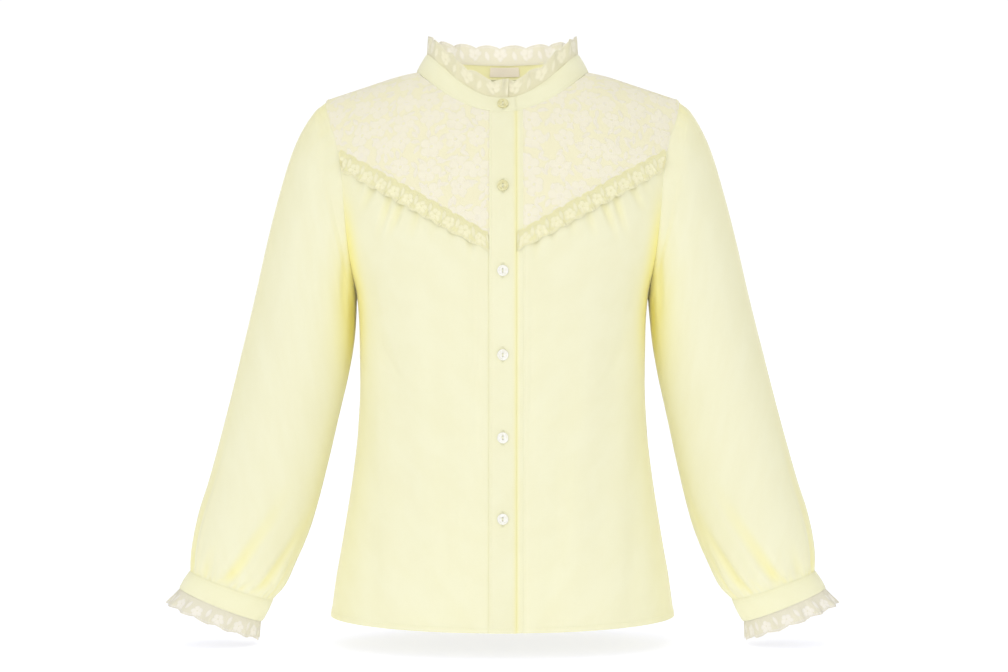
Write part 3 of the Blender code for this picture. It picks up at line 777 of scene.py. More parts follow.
class Graph:
    """Adds shader nodes to a tree, with their inputs set or linked in the same call."""

    def __init__(self, tree: bpy.types.NodeTree) -> None:
        """Keeps the tree."""
        self.tree = tree

    def feed(self, socket: bpy.types.NodeSocket, value: object) -> None:
        """Links a socket to another, or sets its value."""
        value = value.socket if isinstance(value, Value) else value
        if isinstance(value, bpy.types.NodeSocket):
            self.tree.links.new(value, socket)
        else:
            socket.default_value = value

    def fill(self, node: bpy.types.Node, values: dict[str | int, object]) -> None:
        """Links or sets several inputs of a node."""
        for name, value in values.items():
            self.feed(node.inputs[name], value)

    def node(
        self, kind: str, values: dict[str | int, object] | None = None, **settings: object
    ) -> bpy.types.Node:
        """A new node of this kind, with its inputs and its own settings."""
        made = self.tree.nodes.new(kind)
        for name, value in settings.items():
            setattr(made, name, value)
        self.fill(made, values or {})
        return made

    def math(self, operation: str, *values: object, clamp: bool = False) -> Value:
        """A Math node's result."""
        inputs = dict(enumerate(values))
        made = self.node("ShaderNodeMath", inputs, operation=operation, use_clamp=clamp)
        return Value(self, made.outputs[0])

    def highest(self, *values: Value) -> Value:
        """The highest of some numbers."""
        return reduce(partial(self.math, "MAXIMUM"), values)

    def vector(self, operation: str, first: object, second: object) -> bpy.types.NodeSocket:
        """A Vector Math node's result; Scale takes its factor as the second value."""
        names = ("Vector", "Scale") if operation == "SCALE" else (0, 1)
        inputs = dict(zip(names, (first, second)))
        return self.node("ShaderNodeVectorMath", inputs, operation=operation).outputs[0]

    def joined(self, x: Value, y: Value) -> bpy.types.NodeSocket:
        """A vector of two numbers."""
        return self.node("ShaderNodeCombineXYZ", {0: x, 1: y}).outputs[0]

    def split(self, vector: object) -> tuple[Value, Value]:
        """The first two numbers of a vector."""
        x, y, _ = self.node("ShaderNodeSeparateXYZ", {0: vector}).outputs
        return Value(self, x), Value(self, y)

    def ramp(self, value: Value, low: float, high: float) -> Value:
        """A smooth step from 0 at `low` to 1 at `high`."""
        inputs = {"Value": value, "From Min": low, "From Max": high}
        made = self.node("ShaderNodeMapRange", inputs, interpolation_type="SMOOTHSTEP")
        return Value(self, made.outputs["Result"])

    def mix(self, part: Value, first: object, second: object) -> bpy.types.NodeSocket:
        """A colour between two others."""
        inputs = {"Factor": part, 6: first, 7: second}
        return self.node("ShaderNodeMix", inputs, data_type="RGBA").outputs[2]

    def noise(self, place: object, scale: float, flat: bool = False, **more: float) -> Value:
        """Soft noise, in two dimensions where the place is flat cloth."""
        inputs = {"Vector": place, "Scale": scale}
        inputs |= {name.title(): value for name, value in more.items()}
        size = "2D" if flat else "3D"
        made = self.node("ShaderNodeTexNoise", inputs, noise_dimensions=size)
        return Value(self, made.outputs["Fac"])

    def bump(self, height: Value, strength: float, deep: float) -> bpy.types.NodeSocket:
        """A normal that shows a height of 0 to 1, which is this many millimetres deep."""
        inputs = {"Height": height, "Strength": strength, "Distance": deep * MM}
        return self.node("ShaderNodeBump", inputs).outputs[0]

    def wave(self, place: Value, pitch: object, turn: float = TURN) -> Value:
        """A sine wave that turns by this angle in each pitch."""
        return self.math("SINE", place / pitch * turn)

    def fold(self) -> Value:
        """The painted-shade attribute: how far the colour goes to the deeper yellow that stands in
        for shade.
        """
        return Value(self, self.node("ShaderNodeAttribute", attribute_name=PAINTED_SHADE_ATTRIBUTE).outputs["Fac"])


class Effect:
    """A shader node group: an effect that several materials share."""

    def __init__(self, name: str, inputs: dict[str, object], outputs: Sequence[str]) -> None:
        """Makes the group with its sockets.

        Args:
            name: the group's name.
            inputs: each input's name and its usual value; a None makes a vector.
            outputs: names of the numbers that it puts out.
        """
        self.tree = bpy.data.node_groups.new(name, "ShaderNodeTree")
        self.graph = Graph(self.tree)
        for label, value in inputs.items():
            kind = "NodeSocketVector" if value is None else "NodeSocketFloat"
            socket = self.tree.interface.new_socket(label, in_out="INPUT", socket_type=kind)
            if value is not None:
                socket.default_value = value
        for label in outputs:
            self.tree.interface.new_socket(label, in_out="OUTPUT", socket_type="NodeSocketFloat")
        source = self.graph.node("NodeGroupInput").outputs
        self.inputs = [Value(self.graph, source[label]) for label in inputs]
        self.result = self.graph.node("NodeGroupOutput")

    def give(self, *values: Value) -> "Effect":
        """Links the group's results, in the order of its outputs."""
        self.graph.fill(self.result, dict(enumerate(values)))
        return self

    def place(self, graph: Graph, **values: object) -> list[Value]:
        """Places the group in a material or another group, and returns its outputs."""
        made = graph.node("ShaderNodeGroup", node_tree=self.tree)
        graph.fill(made, {label.replace("_", " "): value for label, value in values.items()})
        return [Value(graph, socket) for socket in made.outputs]


def flower_effect() -> Effect:
    """A five-petalled lace flower round the point 0, 0."""
    effect = Effect("lace_flower", {"Local": None, "Size": 10.0, "Turn": 0.0}, ["Body", "Cord"])
    g, (local, size, turn) = effect.graph, effect.inputs
    x, y = g.split(local)
    reach = g.math("SQRT", x * x + y * y)
    share = reach / size
    lobe = abs(g.math("COSINE", (g.math("ARCTAN2", y, x) + turn) * (PETALS / 2)))
    edge = size * g.math("POWER", lobe, 0.55).scaled(0.42, 0.58)
    inside = g.ramp(edge - reach, -0.1, 0.45)
    heart = g.ramp(share, 0.13, 0.2)
    parted = g.highest(g.ramp(lobe, 0.06, 0.2), 1.0 - g.ramp(share, 0.3, 0.42))
    rim, ring = abs(edge - reach), abs(size.scaled(-0.22, reach))
    cord = 1.0 - g.ramp(g.math("MINIMUM", rim, ring), 0.25, 0.75)
    return effect.give(inside * heart * parted, cord)


def leaf_effect() -> Effect:
    """A lace leaf round the point 0, 0."""
    effect = Effect(
        "lace_leaf", {"Local": None, "Half Length": 5.5, "Half Width": 2.2, "Turn": 0.0},
        ["Body", "Cord"],
    )
    g, (local, half_length, half_width, turn) = effect.graph, effect.inputs
    x, y = g.split(local)
    cosine, sine = g.math("COSINE", turn), g.math("SINE", turn)
    along, aside = x * cosine + y * sine, y * cosine - x * sine
    reach = g.math("POWER", along / half_length, 2.0) + abs(aside / half_width)
    body = 1.0 - g.ramp(reach, 0.85, 1.05)
    vein = 1.0 - g.ramp(abs(aside), 0.15, 0.45)
    rim = 1.0 - g.ramp(abs(reach - 0.95), 0.1, 0.3)
    return effect.give(body, g.highest(vein * body, rim))


def net_effect() -> Effect:
    """Fine diamond net."""
    effect = Effect("lace_net", {"Place": None, "Pitch": 1.9}, ["Thread"])
    g, (place, pitch) = effect.graph, effect.inputs
    x, y = g.split(place)
    rise = y * NET_SLANT
    threads = [abs(g.wave(slant, pitch, math.pi)) for slant in (x + rise, x - rise)]
    return effect.give(1.0 - g.ramp(g.math("MINIMUM", *threads), 0.22, 0.42))


def field_effect(flower: Effect, leaf: Effect, net: Effect) -> Effect:
    """Allover lace: flowers and leaves strewn on net. Places are in millimetres."""
    effect = Effect("lace_field", {"Place": None, "Pitch": 25.0}, ["Body", "Cord", "Thread"])
    g, (place, pitch) = effect.graph, effect.inputs
    bodies, cords = [], []
    for shape, finer, shift, loose in (
        (flower, 1.0, 0.0, 0.45), (leaf, 0.62, 7.3, 0.7), (leaf, 0.5, 31.9, 0.8),
    ):
        cell = pitch * finer
        moved = g.vector("ADD", place, (shift, shift * 0.6, 0.0))
        scaled = g.vector("SCALE", moved, 1.0 / cell)
        inputs = {"Vector": scaled, "Scale": 1.0, "Randomness": loose}
        cells = g.node("ShaderNodeTexVoronoi", inputs, voronoi_dimensions="2D", feature="F1")
        local = g.vector("SUBTRACT", scaled, cells.outputs["Position"])
        chance, other = g.split(cells.outputs["Color"])
        values = {"Local": g.vector("SCALE", local, cell), "Turn": chance * TURN}
        if shape is flower:
            values["Size"] = pitch * other.scaled(0.1, 0.36)
        body, cord = shape.place(g, **values)
        bodies.append(body)
        cords.append(cord)
    clear = 1.0 - g.highest(bodies[0], cords[0])
    body, cord = (
        g.highest(first, g.highest(*(layer * clear for layer in others)))
        for first, *others in (bodies, cords)
    )
    return effect.give(body, cord, *net.place(g, Place=place))


def border_effect(flower: Effect, leaf: Effect, net: Effect) -> Effect:
    """Narrow lace: a flower in each scallop. Place is along the lace and up from its free edge."""
    effect = Effect("lace_border", {"Place": None, "Pitch": 20.0}, ["Body", "Cord", "Thread"])
    g, (place, pitch) = effect.graph, effect.inputs
    x, y = g.split(place)
    step = x / pitch
    local = g.joined((g.math("FRACT", step) - 0.5) * pitch, y - 8.6)
    turn = g.math("FLOOR", step) * 0.9
    bloom, bloom_cord = flower.place(g, Local=local, Size=6.4, Turn=turn)
    beside = g.joined((g.math("FRACT", step + 0.5) - 0.5) * pitch, y - 12.5)
    blade, blade_cord = leaf.place(g, Local=beside, Turn=1.25)
    edge = 1.0 - g.ramp(y, 0.8, 1.5)
    eyelets = g.ramp(abs(g.math("SINE", x * (math.pi / EYELET_PITCH))), 0.35, 0.6)
    picot = (1.0 - g.ramp(abs(y - 2.4), 0.5, 1.1)) * eyelets
    cord = g.highest(bloom_cord, blade_cord, edge, picot)
    return effect.give(g.highest(bloom, blade), cord, *net.place(g, Place=place, Pitch=1.7))


def weave_effect() -> Effect:
    """Plain weave with slubs: a height, and a soft mottle for the colour."""
    effect = Effect("weave", {"Place": None, "Pitch": 0.7}, ["Height", "Mottle"])
    g, (place, pitch) = effect.graph, effect.inputs
    x, y = g.split(place)
    grain = (g.wave(x, pitch) * g.wave(y, pitch)).scaled(0.5, 0.5)
    drawn_out = g.vector("MULTIPLY", place, (0.35, 1.3, 1.0))
    slubs = g.noise(drawn_out, 0.9, flat=True, detail=2.0)
    broad = g.noise(place, 0.03, flat=True, detail=3.0)
    return effect.give(slubs.scaled(0.8, grain), slubs.scaled(0.3, broad * 0.7))


@dataclass(frozen=True, kw_only=True)
class Finish:
    """What every cloth and lace has; glow is how much light passes into it."""

    name: str
    pitch: float
    bump: float
    relief: float
    roughness: float
    sheen: float = 0.2
    sheen_roughness: float = 0.5
    glow: float = 0.15

    def look(self, graph: Graph, parts: Sequence[Value]) -> tuple[dict[str, object], Value]:
        """The shader's own inputs, and the relief, from the effect's outputs."""
        raise NotImplementedError

    def build(self, effect: Effect) -> bpy.types.Material:
        """Makes the material from the effect that gives its pattern."""
        made, graph, shader = new_material(self.name)
        place = graph.vector("SCALE", graph.node("ShaderNodeTexCoord").outputs["UV"], 1 / MM)
        parts = effect.place(graph, Place=place, Pitch=self.pitch)
        values, height = self.look(graph, parts)
        graph.fill(shader, values | {
            "Normal": graph.bump(height, self.bump, self.relief),
            "Roughness": self.roughness,
            "Sheen Weight": self.sheen,
            "Sheen Roughness": self.sheen_roughness,
            "Specular IOR Level": 0.25,
            "Subsurface Weight": self.glow,
            "Subsurface Radius": (1.0, 1.0, 0.9),
            "Subsurface Scale": 2.0 * MM,
        })
        return made


@dataclass(frozen=True, kw_only=True)
class ClothFinish(Finish):
    """Smooth woven cloth."""

    colour: Colour
    shade: Colour
    # deep is the colour of painted shade: a deeper yellow for folds, hollows and sides where shade
    # falls.
    deep: Colour = (0.95, 0.87, 0.28, 1)
    pitch: float = 0.7
    bump: float = 0.35
    relief: float = 0.05
    roughness: float = 0.72
    sheen: float = 0.5
    sheen_roughness: float = 0.4

    def look(self, graph: Graph, parts: Sequence[Value]) -> tuple[dict[str, object], Value]:
        """Two tones of the weave, and painted shade: a deeper yellow where the attribute says shade
        falls.
        """
        height, mottle = parts
        colour = graph.mix(graph.ramp(mottle, 0.3, 0.7), self.shade, self.colour)
        return {"Base Color": graph.mix(graph.fold(), colour, self.deep)}, height


@dataclass(frozen=True, kw_only=True)
class YokeFinish(Finish):
    """Allover lace laid on its lining."""

    lining: Colour
    thread: Colour
    bump: float = 0.8
    relief: float = 0.35
    roughness: float = 0.8

    def look(self, graph: Graph, parts: Sequence[Value]) -> tuple[dict[str, object], Value]:
        """The lace's tone over the lining's."""
        body, cord, thread = parts
        part = cord.scaled(0.35, body.scaled(0.55, thread * 0.3), clamp=True)
        height = cord.scaled(0.6, body.scaled(0.5, thread * 0.35))
        return {"Base Color": graph.mix(part, self.lining, self.thread)}, height


@dataclass(frozen=True, kw_only=True)
class LaceFinish(Finish):
    """Narrow see-through lace with a scalloped edge."""

    thread: Colour
    net: Colour
    # deep is the colour of painted shade: a deeper yellow on the lace's shaded parts and between
    # its waves.
    deep: Colour = (0.95, 0.89, 0.46, 1)
    bump: float = 0.7
    relief: float = 0.3
    roughness: float = 0.85
    glow: float = 0.25
    veil: float

    def look(self, graph: Graph, parts: Sequence[Value]) -> tuple[dict[str, object], Value]:
        """Solid motifs on a net that lets a little through, with painted shade: deeper in tone in
        the folds.
        """
        body, cord, thread = parts
        solid = graph.highest(body, cord)
        colour = graph.mix(graph.fold(), graph.mix(solid, self.net, self.thread), self.deep)
        cover = graph.highest(solid, thread.scaled(1 - self.veil, self.veil))
        height = cord.scaled(0.7, graph.highest(body, thread))
        return {"Base Color": colour, "Alpha": cover}, height


@dataclass(frozen=True)
class PearlFinish:
    """Pearly resin."""

    name: str
    colour: Colour
    shade: Colour
    roughness: float = 0.22
    coat: float = 0.5
    coat_roughness: float = 0.1

    def build(self) -> bpy.types.Material:
        """Makes the material, with soft bands as in shell."""
        made, graph, shader = new_material(self.name)
        place = graph.node("ShaderNodeTexCoord").outputs["Object"]
        bands = graph.noise(place, 210.0, detail=3.0, distortion=1.6)
        graph.fill(shader, {
            "Base Color": graph.mix(graph.ramp(bands, 0.35, 0.65), self.shade, self.colour),
            "Normal": graph.bump(bands, 0.1, 0.1),
            "Roughness": self.roughness,
            "Coat Weight": self.coat,
            "Coat Roughness": self.coat_roughness,
        })
        return made


@dataclass(frozen=True)
class PlainFinish:
    """A plain pale surface with a faint mottle, for the floor."""

    name: str
    colour: Colour
    shade: Colour
    glow: Colour
    strength: float
    roughness: float = 0.9

    def build(self) -> bpy.types.Material:
        """Makes the material."""
        made, graph, shader = new_material(self.name)
        noise = graph.noise(graph.node("ShaderNodeTexCoord").outputs["Object"], 3.0)
        graph.fill(shader, {
            "Base Color": graph.mix(noise, self.shade, self.colour),
            "Roughness": self.roughness,
            "Emission Color": self.glow,
            "Emission Strength": self.strength,
        })
        return made


def new_material(name: str) -> tuple[bpy.types.Material, Graph, bpy.types.Node]:
    """A material, the graph to add its nodes with, and its shader."""
    made = bpy.data.materials.new(name)
    made.use_nodes = True
    return made, Graph(made.node_tree), made.node_tree.nodes["Principled BSDF"]


class Wardrobe:
    """All the finishes of the blouse, made once."""

    def __init__(self) -> None:
        """Builds the effects, then the materials that use them."""
        weave = weave_effect()
        parts = flower_effect(), leaf_effect(), net_effect()
        allover, border = field_effect(*parts), border_effect(*parts)
        self.cloth = ClothFinish(
            name="crepe", colour=(0.88, 0.86, 0.60, 1), shade=(0.865, 0.84, 0.57, 1)
        ).build(weave)
        self.thread = ClothFinish(
            name="sewing_thread", colour=(0.93, 0.915, 0.66, 1), shade=(0.90, 0.88, 0.6, 1),
            pitch=0.3, roughness=0.5,
        ).build(weave)
        self.yoke = YokeFinish(
            name="lace_on_lining", lining=(0.91, 0.86, 0.58, 1), thread=(0.935, 0.88, 0.73, 1),
            pitch=28.0,
        ).build(allover)
        self.collar_lace = LaceFinish(
            name="collar_lace", thread=(0.92, 0.87, 0.75, 1), pitch=COLLAR_PITCH,
            net=(0.93, 0.875, 0.68, 1), veil=0.88,
        ).build(border)
        self.trim_lace = LaceFinish(
            name="trim_lace", thread=(0.97, 0.92, 0.60, 1), pitch=TRIM_PITCH,
            net=(0.985, 0.93, 0.52, 1), veil=0.94,
        ).build(border)
        self.pearl = PearlFinish(
            "pearl", colour=(0.93, 0.92, 0.86, 1), shade=(0.86, 0.84, 0.72, 1)
        ).build()
        self.amber_pearl = PearlFinish(
            "warm_pearl", colour=(0.80, 0.76, 0.44, 1), shade=(0.68, 0.63, 0.30, 1)
        ).build()
        self.label = ClothFinish(
            name="satin", colour=(0.93, 0.85, 0.71, 1), shade=(0.87, 0.79, 0.65, 1),
            pitch=0.4, roughness=0.4, sheen=0.1,
        ).build(weave)
        self.floor = PlainFinish(
            "pale_floor", colour=(0.52, 0.52, 0.52, 1), shade=(0.50, 0.50, 0.50, 1),
            glow=(0.91, 0.92, 1.0, 1), strength=0.7,
        ).build()


@dataclass
class Stitching:
    """Runs of small stitches, joined into one piece."""

    name: str
    finish: bpy.types.Material
    pitch: float = 2.7
    stitch: float = 2.0
    width: float = 0.38
    proud: float = 0.12
    blunt: float = 0.75
    spots: list[Array] = field(default_factory=list)

    def run(self, seam: Seam, start: float = 0.0, end: float = 0.0) -> None:
        """Adds stitches along a line.

        Args:
            seam: the line on the cloth.
            start: distance left bare at its start.
            end: distance left bare at its end.
        """
        whole = seam.length - start - end
        count = max(1, int(whole / self.pitch))
        at, out, way = seam.at(start + (np.arange(count) + 0.5) * whole / count)
        self.add(at + out * self.proud, out, way, self.stitch)

    def add(self, at: Array, out: Array, way: Array, length: float) -> None:
        """Adds one stitch at each place.

        Args:
            at: the middles.
            out: the cloth's outward directions.
            way: the stitches' directions.
            length: a stitch's length.
        """
        half = self.width / 2
        aside = unit(np.cross(way, out))
        self.spots.append(np.stack([at, way * length / 2, aside * half, out * half], 1))

    def make(self) -> None:
        """Models one stitch, copies it to each place, and joins them."""
        deselect()
        bpy.ops.mesh.primitive_uv_sphere_add(segments=5, ring_count=4, radius=1.0)
        seed = bpy.context.object
        shape = np.array([v.co for v in seed.data.vertices])
        faces = [tuple(face.vertices) for face in seed.data.polygons]
        bpy.data.objects.remove(seed, do_unlink=True)
        x, y, z = shape.T
        rounded = np.stack([np.sign(z) * np.abs(z) ** self.blunt, x, y], -1)
        spots = np.concatenate(self.spots)
        points = spots[:, None, 0] + np.einsum("vk,nkd->nvd", rounded, spots[:, 1:])
        mesh = bpy.data.meshes.new(self.name)
        count = len(shape)
        everyone = [tuple(i + n * count for i in face) for n in range(len(spots)) for face in faces]
        mesh.from_pydata((points.reshape(-1, 3) * MM).tolist(), [], everyone)
        uv = mesh.uv_layers.new(name="UVMap")
        places = np.stack([z, x], -1)[corners(mesh) % count] * MM
        uv.data.foreach_set("uv", places.ravel())
        piece = put(self.name, mesh)
        only(piece)
        bpy.ops.object.shade_smooth()
        dress(piece, self.finish, Slot.CLOTH)


@dataclass
class Bodice:
    """The body of the blouse: yokes, fronts, back and the two plackets."""

    wardrobe: Wardrobe
    stitches: Stitching
    yoke_wall: float = 0.9
    roll: float = 0.4
    roll_width: float = 1.8
    side_roll: float = 0.25
    seam_roll: float = 0.4
    hem_height: float = 6.5
    hem_step: float = 0.45
    hem_soft: float = 0.8
    pucker_pitch: float = 5.4
    pucker_height: float = 0.55
    pucker_reach: float = 16.0
    back_lean: float = 0.22
    proud: float = 1.0
    sink: float = 0.5
    under_drop: float = 0.8
    strip_columns: int = 30
    strip_stitch: float = 2.2
    strip_hem: float = 0.3
    # The numbers below paint shade: a deeper yellow at the sides, in the hollow beside the arms,
    # along the upper placket's free edge, and in the gathers and puckers.
    side_painted_shade: float = 0.3
    side_power: float = 9.0
    arm_hollow_shade: float = 0.75
    arm_reach: float = 9.0
    placket_edge_shadow: float = 0.36
    edge_reach: float = 2.2
    gather_shade: float = 0.08
    pucker_shade: float = 0.2

    def rolled(self, distance: Array) -> Array:
        """How far cloth turns in at a seam, at this distance from it."""
        return -self.roll * bell(distance, self.roll_width)

    def hem(self, below: Array) -> Array:
        """How full the turned hem is, at this height above its edge."""
        return 1 - fade((below - self.hem_height) / self.hem_soft)

    def hem_relief(self, u: Array, below: Array, seed: float) -> Array:
        """Height of the turned hem, with its faint ripple."""
        return self.hem_step * self.hem(below) + drawn(u, 9.0, seed, 0.25) * bell(below, 14)

    def folds(self, points: Array, table: Sequence[Fold]) -> Array:
        """Depth of the soft folds at each point of a panel."""
        x, z = np.abs(points[..., 0]), points[..., 2]
        total = np.zeros_like(x)
        for fold in table:
            run = np.array([fold.end_x - fold.start_x, fold.end_z - fold.start_z])
            length = float(np.hypot(*run))
            part = ((x - fold.start_x) * run[0] + (z - fold.start_z) * run[1]) / length**2
            aside = ((x - fold.start_x) * run[1] - (z - fold.start_z) * run[0]) / length
            bend = 0.35 * fold.half_width * np.sin(part * math.pi)
            ends = fade(part / 0.35) * fade((1.12 - part) / 0.3)
            total += fold.depth * hill((aside + bend) / fold.half_width) * ends
        return total

    def gathers(self, points: Array) -> Array:
        """Depth of the gathers below the yoke seam."""
        x, z = np.abs(points[..., 0]), points[..., 2]
        fallen = FORM.yoke_seam(x) - z
        total = np.zeros_like(x)
        for row in GATHERS:
            part = fallen / row.length
            off = (x - row.start - row.drift * part) / row.half_width
            full = (0.35 + 0.65 * fade(part * 4)) * (1 - fade((part - 0.3) / 0.7))
            total += np.where((part >= 0) & (part <= 1), row.depth * hill(off) * full, 0.0)
        return total

    def inner_x(self, side: Side) -> float:
        """Where a front panel of this side starts."""
        edge = -FORM.placket_right if side is Side.RIGHT else FORM.under_left
        return edge + FORM.seam_gap

    def yoke(self, side: Side) -> None:
        """One half of the lace yoke."""
        points = FORM.grid(
            spread(110), spread(88, 1.35), self.inner_x(side), True,
            lambda x: FORM.top_edge(x, True), lambda x: FORM.yoke_seam(x) + FORM.seam_gap / 2,
        )
        panel = Panel(f"lace_yoke_{side.word}", side.mirror(points))
        u, _ = panel.lengths()
        panel.lift(self.rolled(u[:, -1:] - u) * self.side_roll)
        panel.tuck(1, False, under=0.3).tuck(0, True, under=0.7).tuck(1, True)
        uv = FORM.flat(panel.points[..., 0], panel.points[..., 2], True)
        piece = panel.make(self.yoke_wall, uv=uv)
        dress(piece, self.wardrobe.yoke, Slot.YOKE, f"yoke_{side.word}")
        Cut(185, 195, 0.62).declare(piece)

    def front_panel(self, side: Side) -> None:
        """One gathered front."""
        points = FORM.grid(
            spread(92), spread(190, 1.25), self.inner_x(side), True,
            lambda x: FORM.yoke_seam(x) - FORM.seam_gap / 2, lambda x: FORM.hem(x, True),
        )
        panel = Panel(f"front_cloth_{side.word}", side.mirror(points))
        u, v = panel.lengths()
        below = v[-1:] - v
        gathers = self.gathers(points)
        near = np.exp(-v / self.pucker_reach) * self.pucker_height
        ripple = pucker(u, self.pucker_pitch, 1.3 + side.value) * near
        edges = self.rolled(u[:, -1:] - u) * self.side_roll + self.rolled(u) * self.seam_roll
        hem = self.hem_relief(u, below, 4.0 + side.value)
        panel.lift(hem + edges - ripple - gathers - self.folds(points, FRONT_FOLDS))
        self.stitches.run(self.above_hem(panel, below))
        # Painted shade in the gathers, at the sides and beside the arms.
        panel.fold = self.tint(panel.points, gathers, ripple)
        panel.tuck(1, False, under=0.3).tuck(1, True)
        piece = panel.make(CLOTH_WALL)
        dress(piece, self.wardrobe.cloth, Slot.CLOTH, f"front_{side.word}")
        Cut(250, 520, 0.8).declare(piece)

    def tint(self, points: Array, gathered: Array, ripple: Array | float) -> Array:
        """Painted shade: a deeper colour in the gathers, at the sides and below the arms, where
        shade falls.
        """
        x, z = np.abs(points[..., 0]), points[..., 2]
        edge = np.clip(x / FORM.half_width(z), 0, 1)
        side = self.side_painted_shade * edge**self.side_power
        inside = FORM.edge_width(z) - x
        beside = fade((z + 345) / 80) * fade((-120 - z) / 80) * bell(inside, self.arm_reach)
        folds = self.gather_shade * gathered + self.pucker_shade * ripple
        return side + self.arm_hollow_shade * beside + folds

    def above_hem(self, panel: Panel, below: Array) -> Seam:
        """The line of stitches that holds the hem."""
        heights = below[:, below.shape[1] // 2]
        row = float(np.interp(-(self.hem_height - 1.0), -heights, np.arange(len(heights))))
        return panel.line(row=row)

    def back(self) -> None:
        """The back, in one piece."""
        half = FORM.grid(
            spread(82), spread(190, 1.2), 0.0, False,
            lambda x: FORM.top_edge(x, False), lambda x: FORM.hem(x, False),
        )
        points = np.concatenate([Side.RIGHT.mirror(half)[:, :0:-1], half], axis=1)
        panel = Panel("back_cloth", points)
        u, v = panel.lengths()
        below = v[-1:] - v
        folds = self.folds(points, BACK_FOLDS)
        lean = 1 + self.back_lean * np.sign(points[..., 0])
        sides = self.rolled(u[:, -1:] - u) + self.rolled(u)
        panel.lift(self.hem_relief(u, below, 7.0) - folds * lean + sides * self.side_roll)
        self.stitches.run(self.above_hem(panel, below))
        # Painted shade in the back's folds, at the sides and beside the arms.
        panel.fold = self.tint(panel.points, np.maximum(folds, 0), 0.0)
        panel.tuck(1, False, under=0.3).tuck(1, True, under=0.3).tuck(0, True, under=0.7)
        piece = panel.make(CLOTH_WALL)
        dress(piece, self.wardrobe.cloth, Slot.CLOTH, "back")
        Cut(490, 625, 0.86).declare(piece)

    def strip(
        self, name: str, node: str, first: float, last: float, out: float, drop: float
    ) -> Panel:
        """A placket: a long folded strip at the centre of the front.

        Args:
            name: the piece's name.
            node: the node that it replaces.
            first: x of its right edge.
            last: x of its left edge.
            out: how far it stands from the body's surface.
            drop: how far below the neck seam it starts.

        Returns:
            The strip.
        """
        x = np.linspace(first, last, self.strip_columns)
        top = FORM.neck_height(x, True) - drop
        z = top + (FORM.hem(x, True) - top) * spread(260)[:, None]
        x = np.broadcast_to(x, z.shape)
        panel = Panel(name, FORM.point(x, z, True, out))
        edge = np.minimum(x - first, last - x)
        soft = -0.35 * bell(edge, 0.9) - 0.14 * bell(edge - self.strip_stitch, 0.7)
        draw = drawn(z, 7.5, first, 0.12) * bell(edge, 4.0)
        panel.lift(soft + draw + self.strip_hem * self.hem(z - z[-1:]))
        # Painted shadow: a deeper yellow line where the upper placket's free edge stands over the
        # under placket.
        panel.fold = self.placket_edge_shadow * bell(x - FORM.placket_left, self.edge_reach)
        panel.tuck(0, True, along=1.6, under=0.4)
        piece = panel.make(DOUBLE_WALL)
        dress(piece, self.wardrobe.cloth, Slot.CLOTH, node)
        Cut(last - first, 545, 1.0).declare(piece)
        return panel

    def plackets(self) -> None:
        """Both plackets, with the seams that show."""
        under = self.strip(
            "under_placket_cloth", "under_placket", FORM.under_right, FORM.under_left,
            -self.sink, self.under_drop,
        )
        over = self.strip(
            "placket_cloth", "placket", FORM.placket_right, FORM.placket_left, self.proud, 0.0
        )
        last = self.strip_columns - 1
        width = FORM.placket_left - FORM.placket_right
        under_width = FORM.under_left - FORM.under_right
        inset = self.strip_stitch
        seams = (
            over.line(column=inset / width * last),
            over.line(column=(width - inset) / width * last),
            under.line(column=(under_width - inset) / under_width * last),
            over.line(row=258.0),
        )
        for seam in seams:
            self.stitches.run(seam, 1.0, 1.0)

    def build(self) -> None:
        """Makes every piece of the body."""
        for side in Side:
            self.yoke(side)
            self.front_panel(side)
        self.back()
        self.plackets()


@dataclass
class Frill:
    """The waves of gathered lace, along it from 0 to 1."""

    waves: int
    depth: float
    sewn: float
    uneven: float = 0.3
    sway: float = 1.6
    ripples: float = 0.16
    seed: float = 0.0

    def phase(self, u: Array) -> Array:
        """Each wave's turn, hurried and slowed along the lace."""
        round_u = TURN * u
        drift = np.sin(3 * round_u + self.seed) + 0.6 * np.sin(7 * round_u + 2 * self.seed)
        return self.waves * round_u + self.uneven * 2 * drift

    def crest(self, u: Array, v: Array) -> Array:
        """Height of the waves, 0 to 1, at a part of the way from the sewn edge."""
        turn = self.phase(u)
        full = self.sewn + (1 - self.sewn) * v
        size = 1 - 0.22 * (0.5 + 0.5 * np.sin(TURN * 5 * u + 3 * self.seed))
        fine = self.ripples * np.sin(2.7 * turn + self.seed) * (0.4 + 0.6 * v)
        return self.depth * full * np.clip(0.5 + 0.5 * np.cos(turn) * size + fine * 0.5, 0, 1)

    def swing(self, u: Array, v: Array) -> Array:
        """How far the lace leans along itself, which rounds its waves."""
        return -self.sway * np.sin(self.phase(u)) * v**1.5

    def lobes(self, u: Array) -> Array:
        """The scalloped edge: 0 at the tip of a lobe, 1 between two of them."""
        return 1 - np.abs(np.sin(math.pi * (self.waves * u + 0.5))) ** 0.6


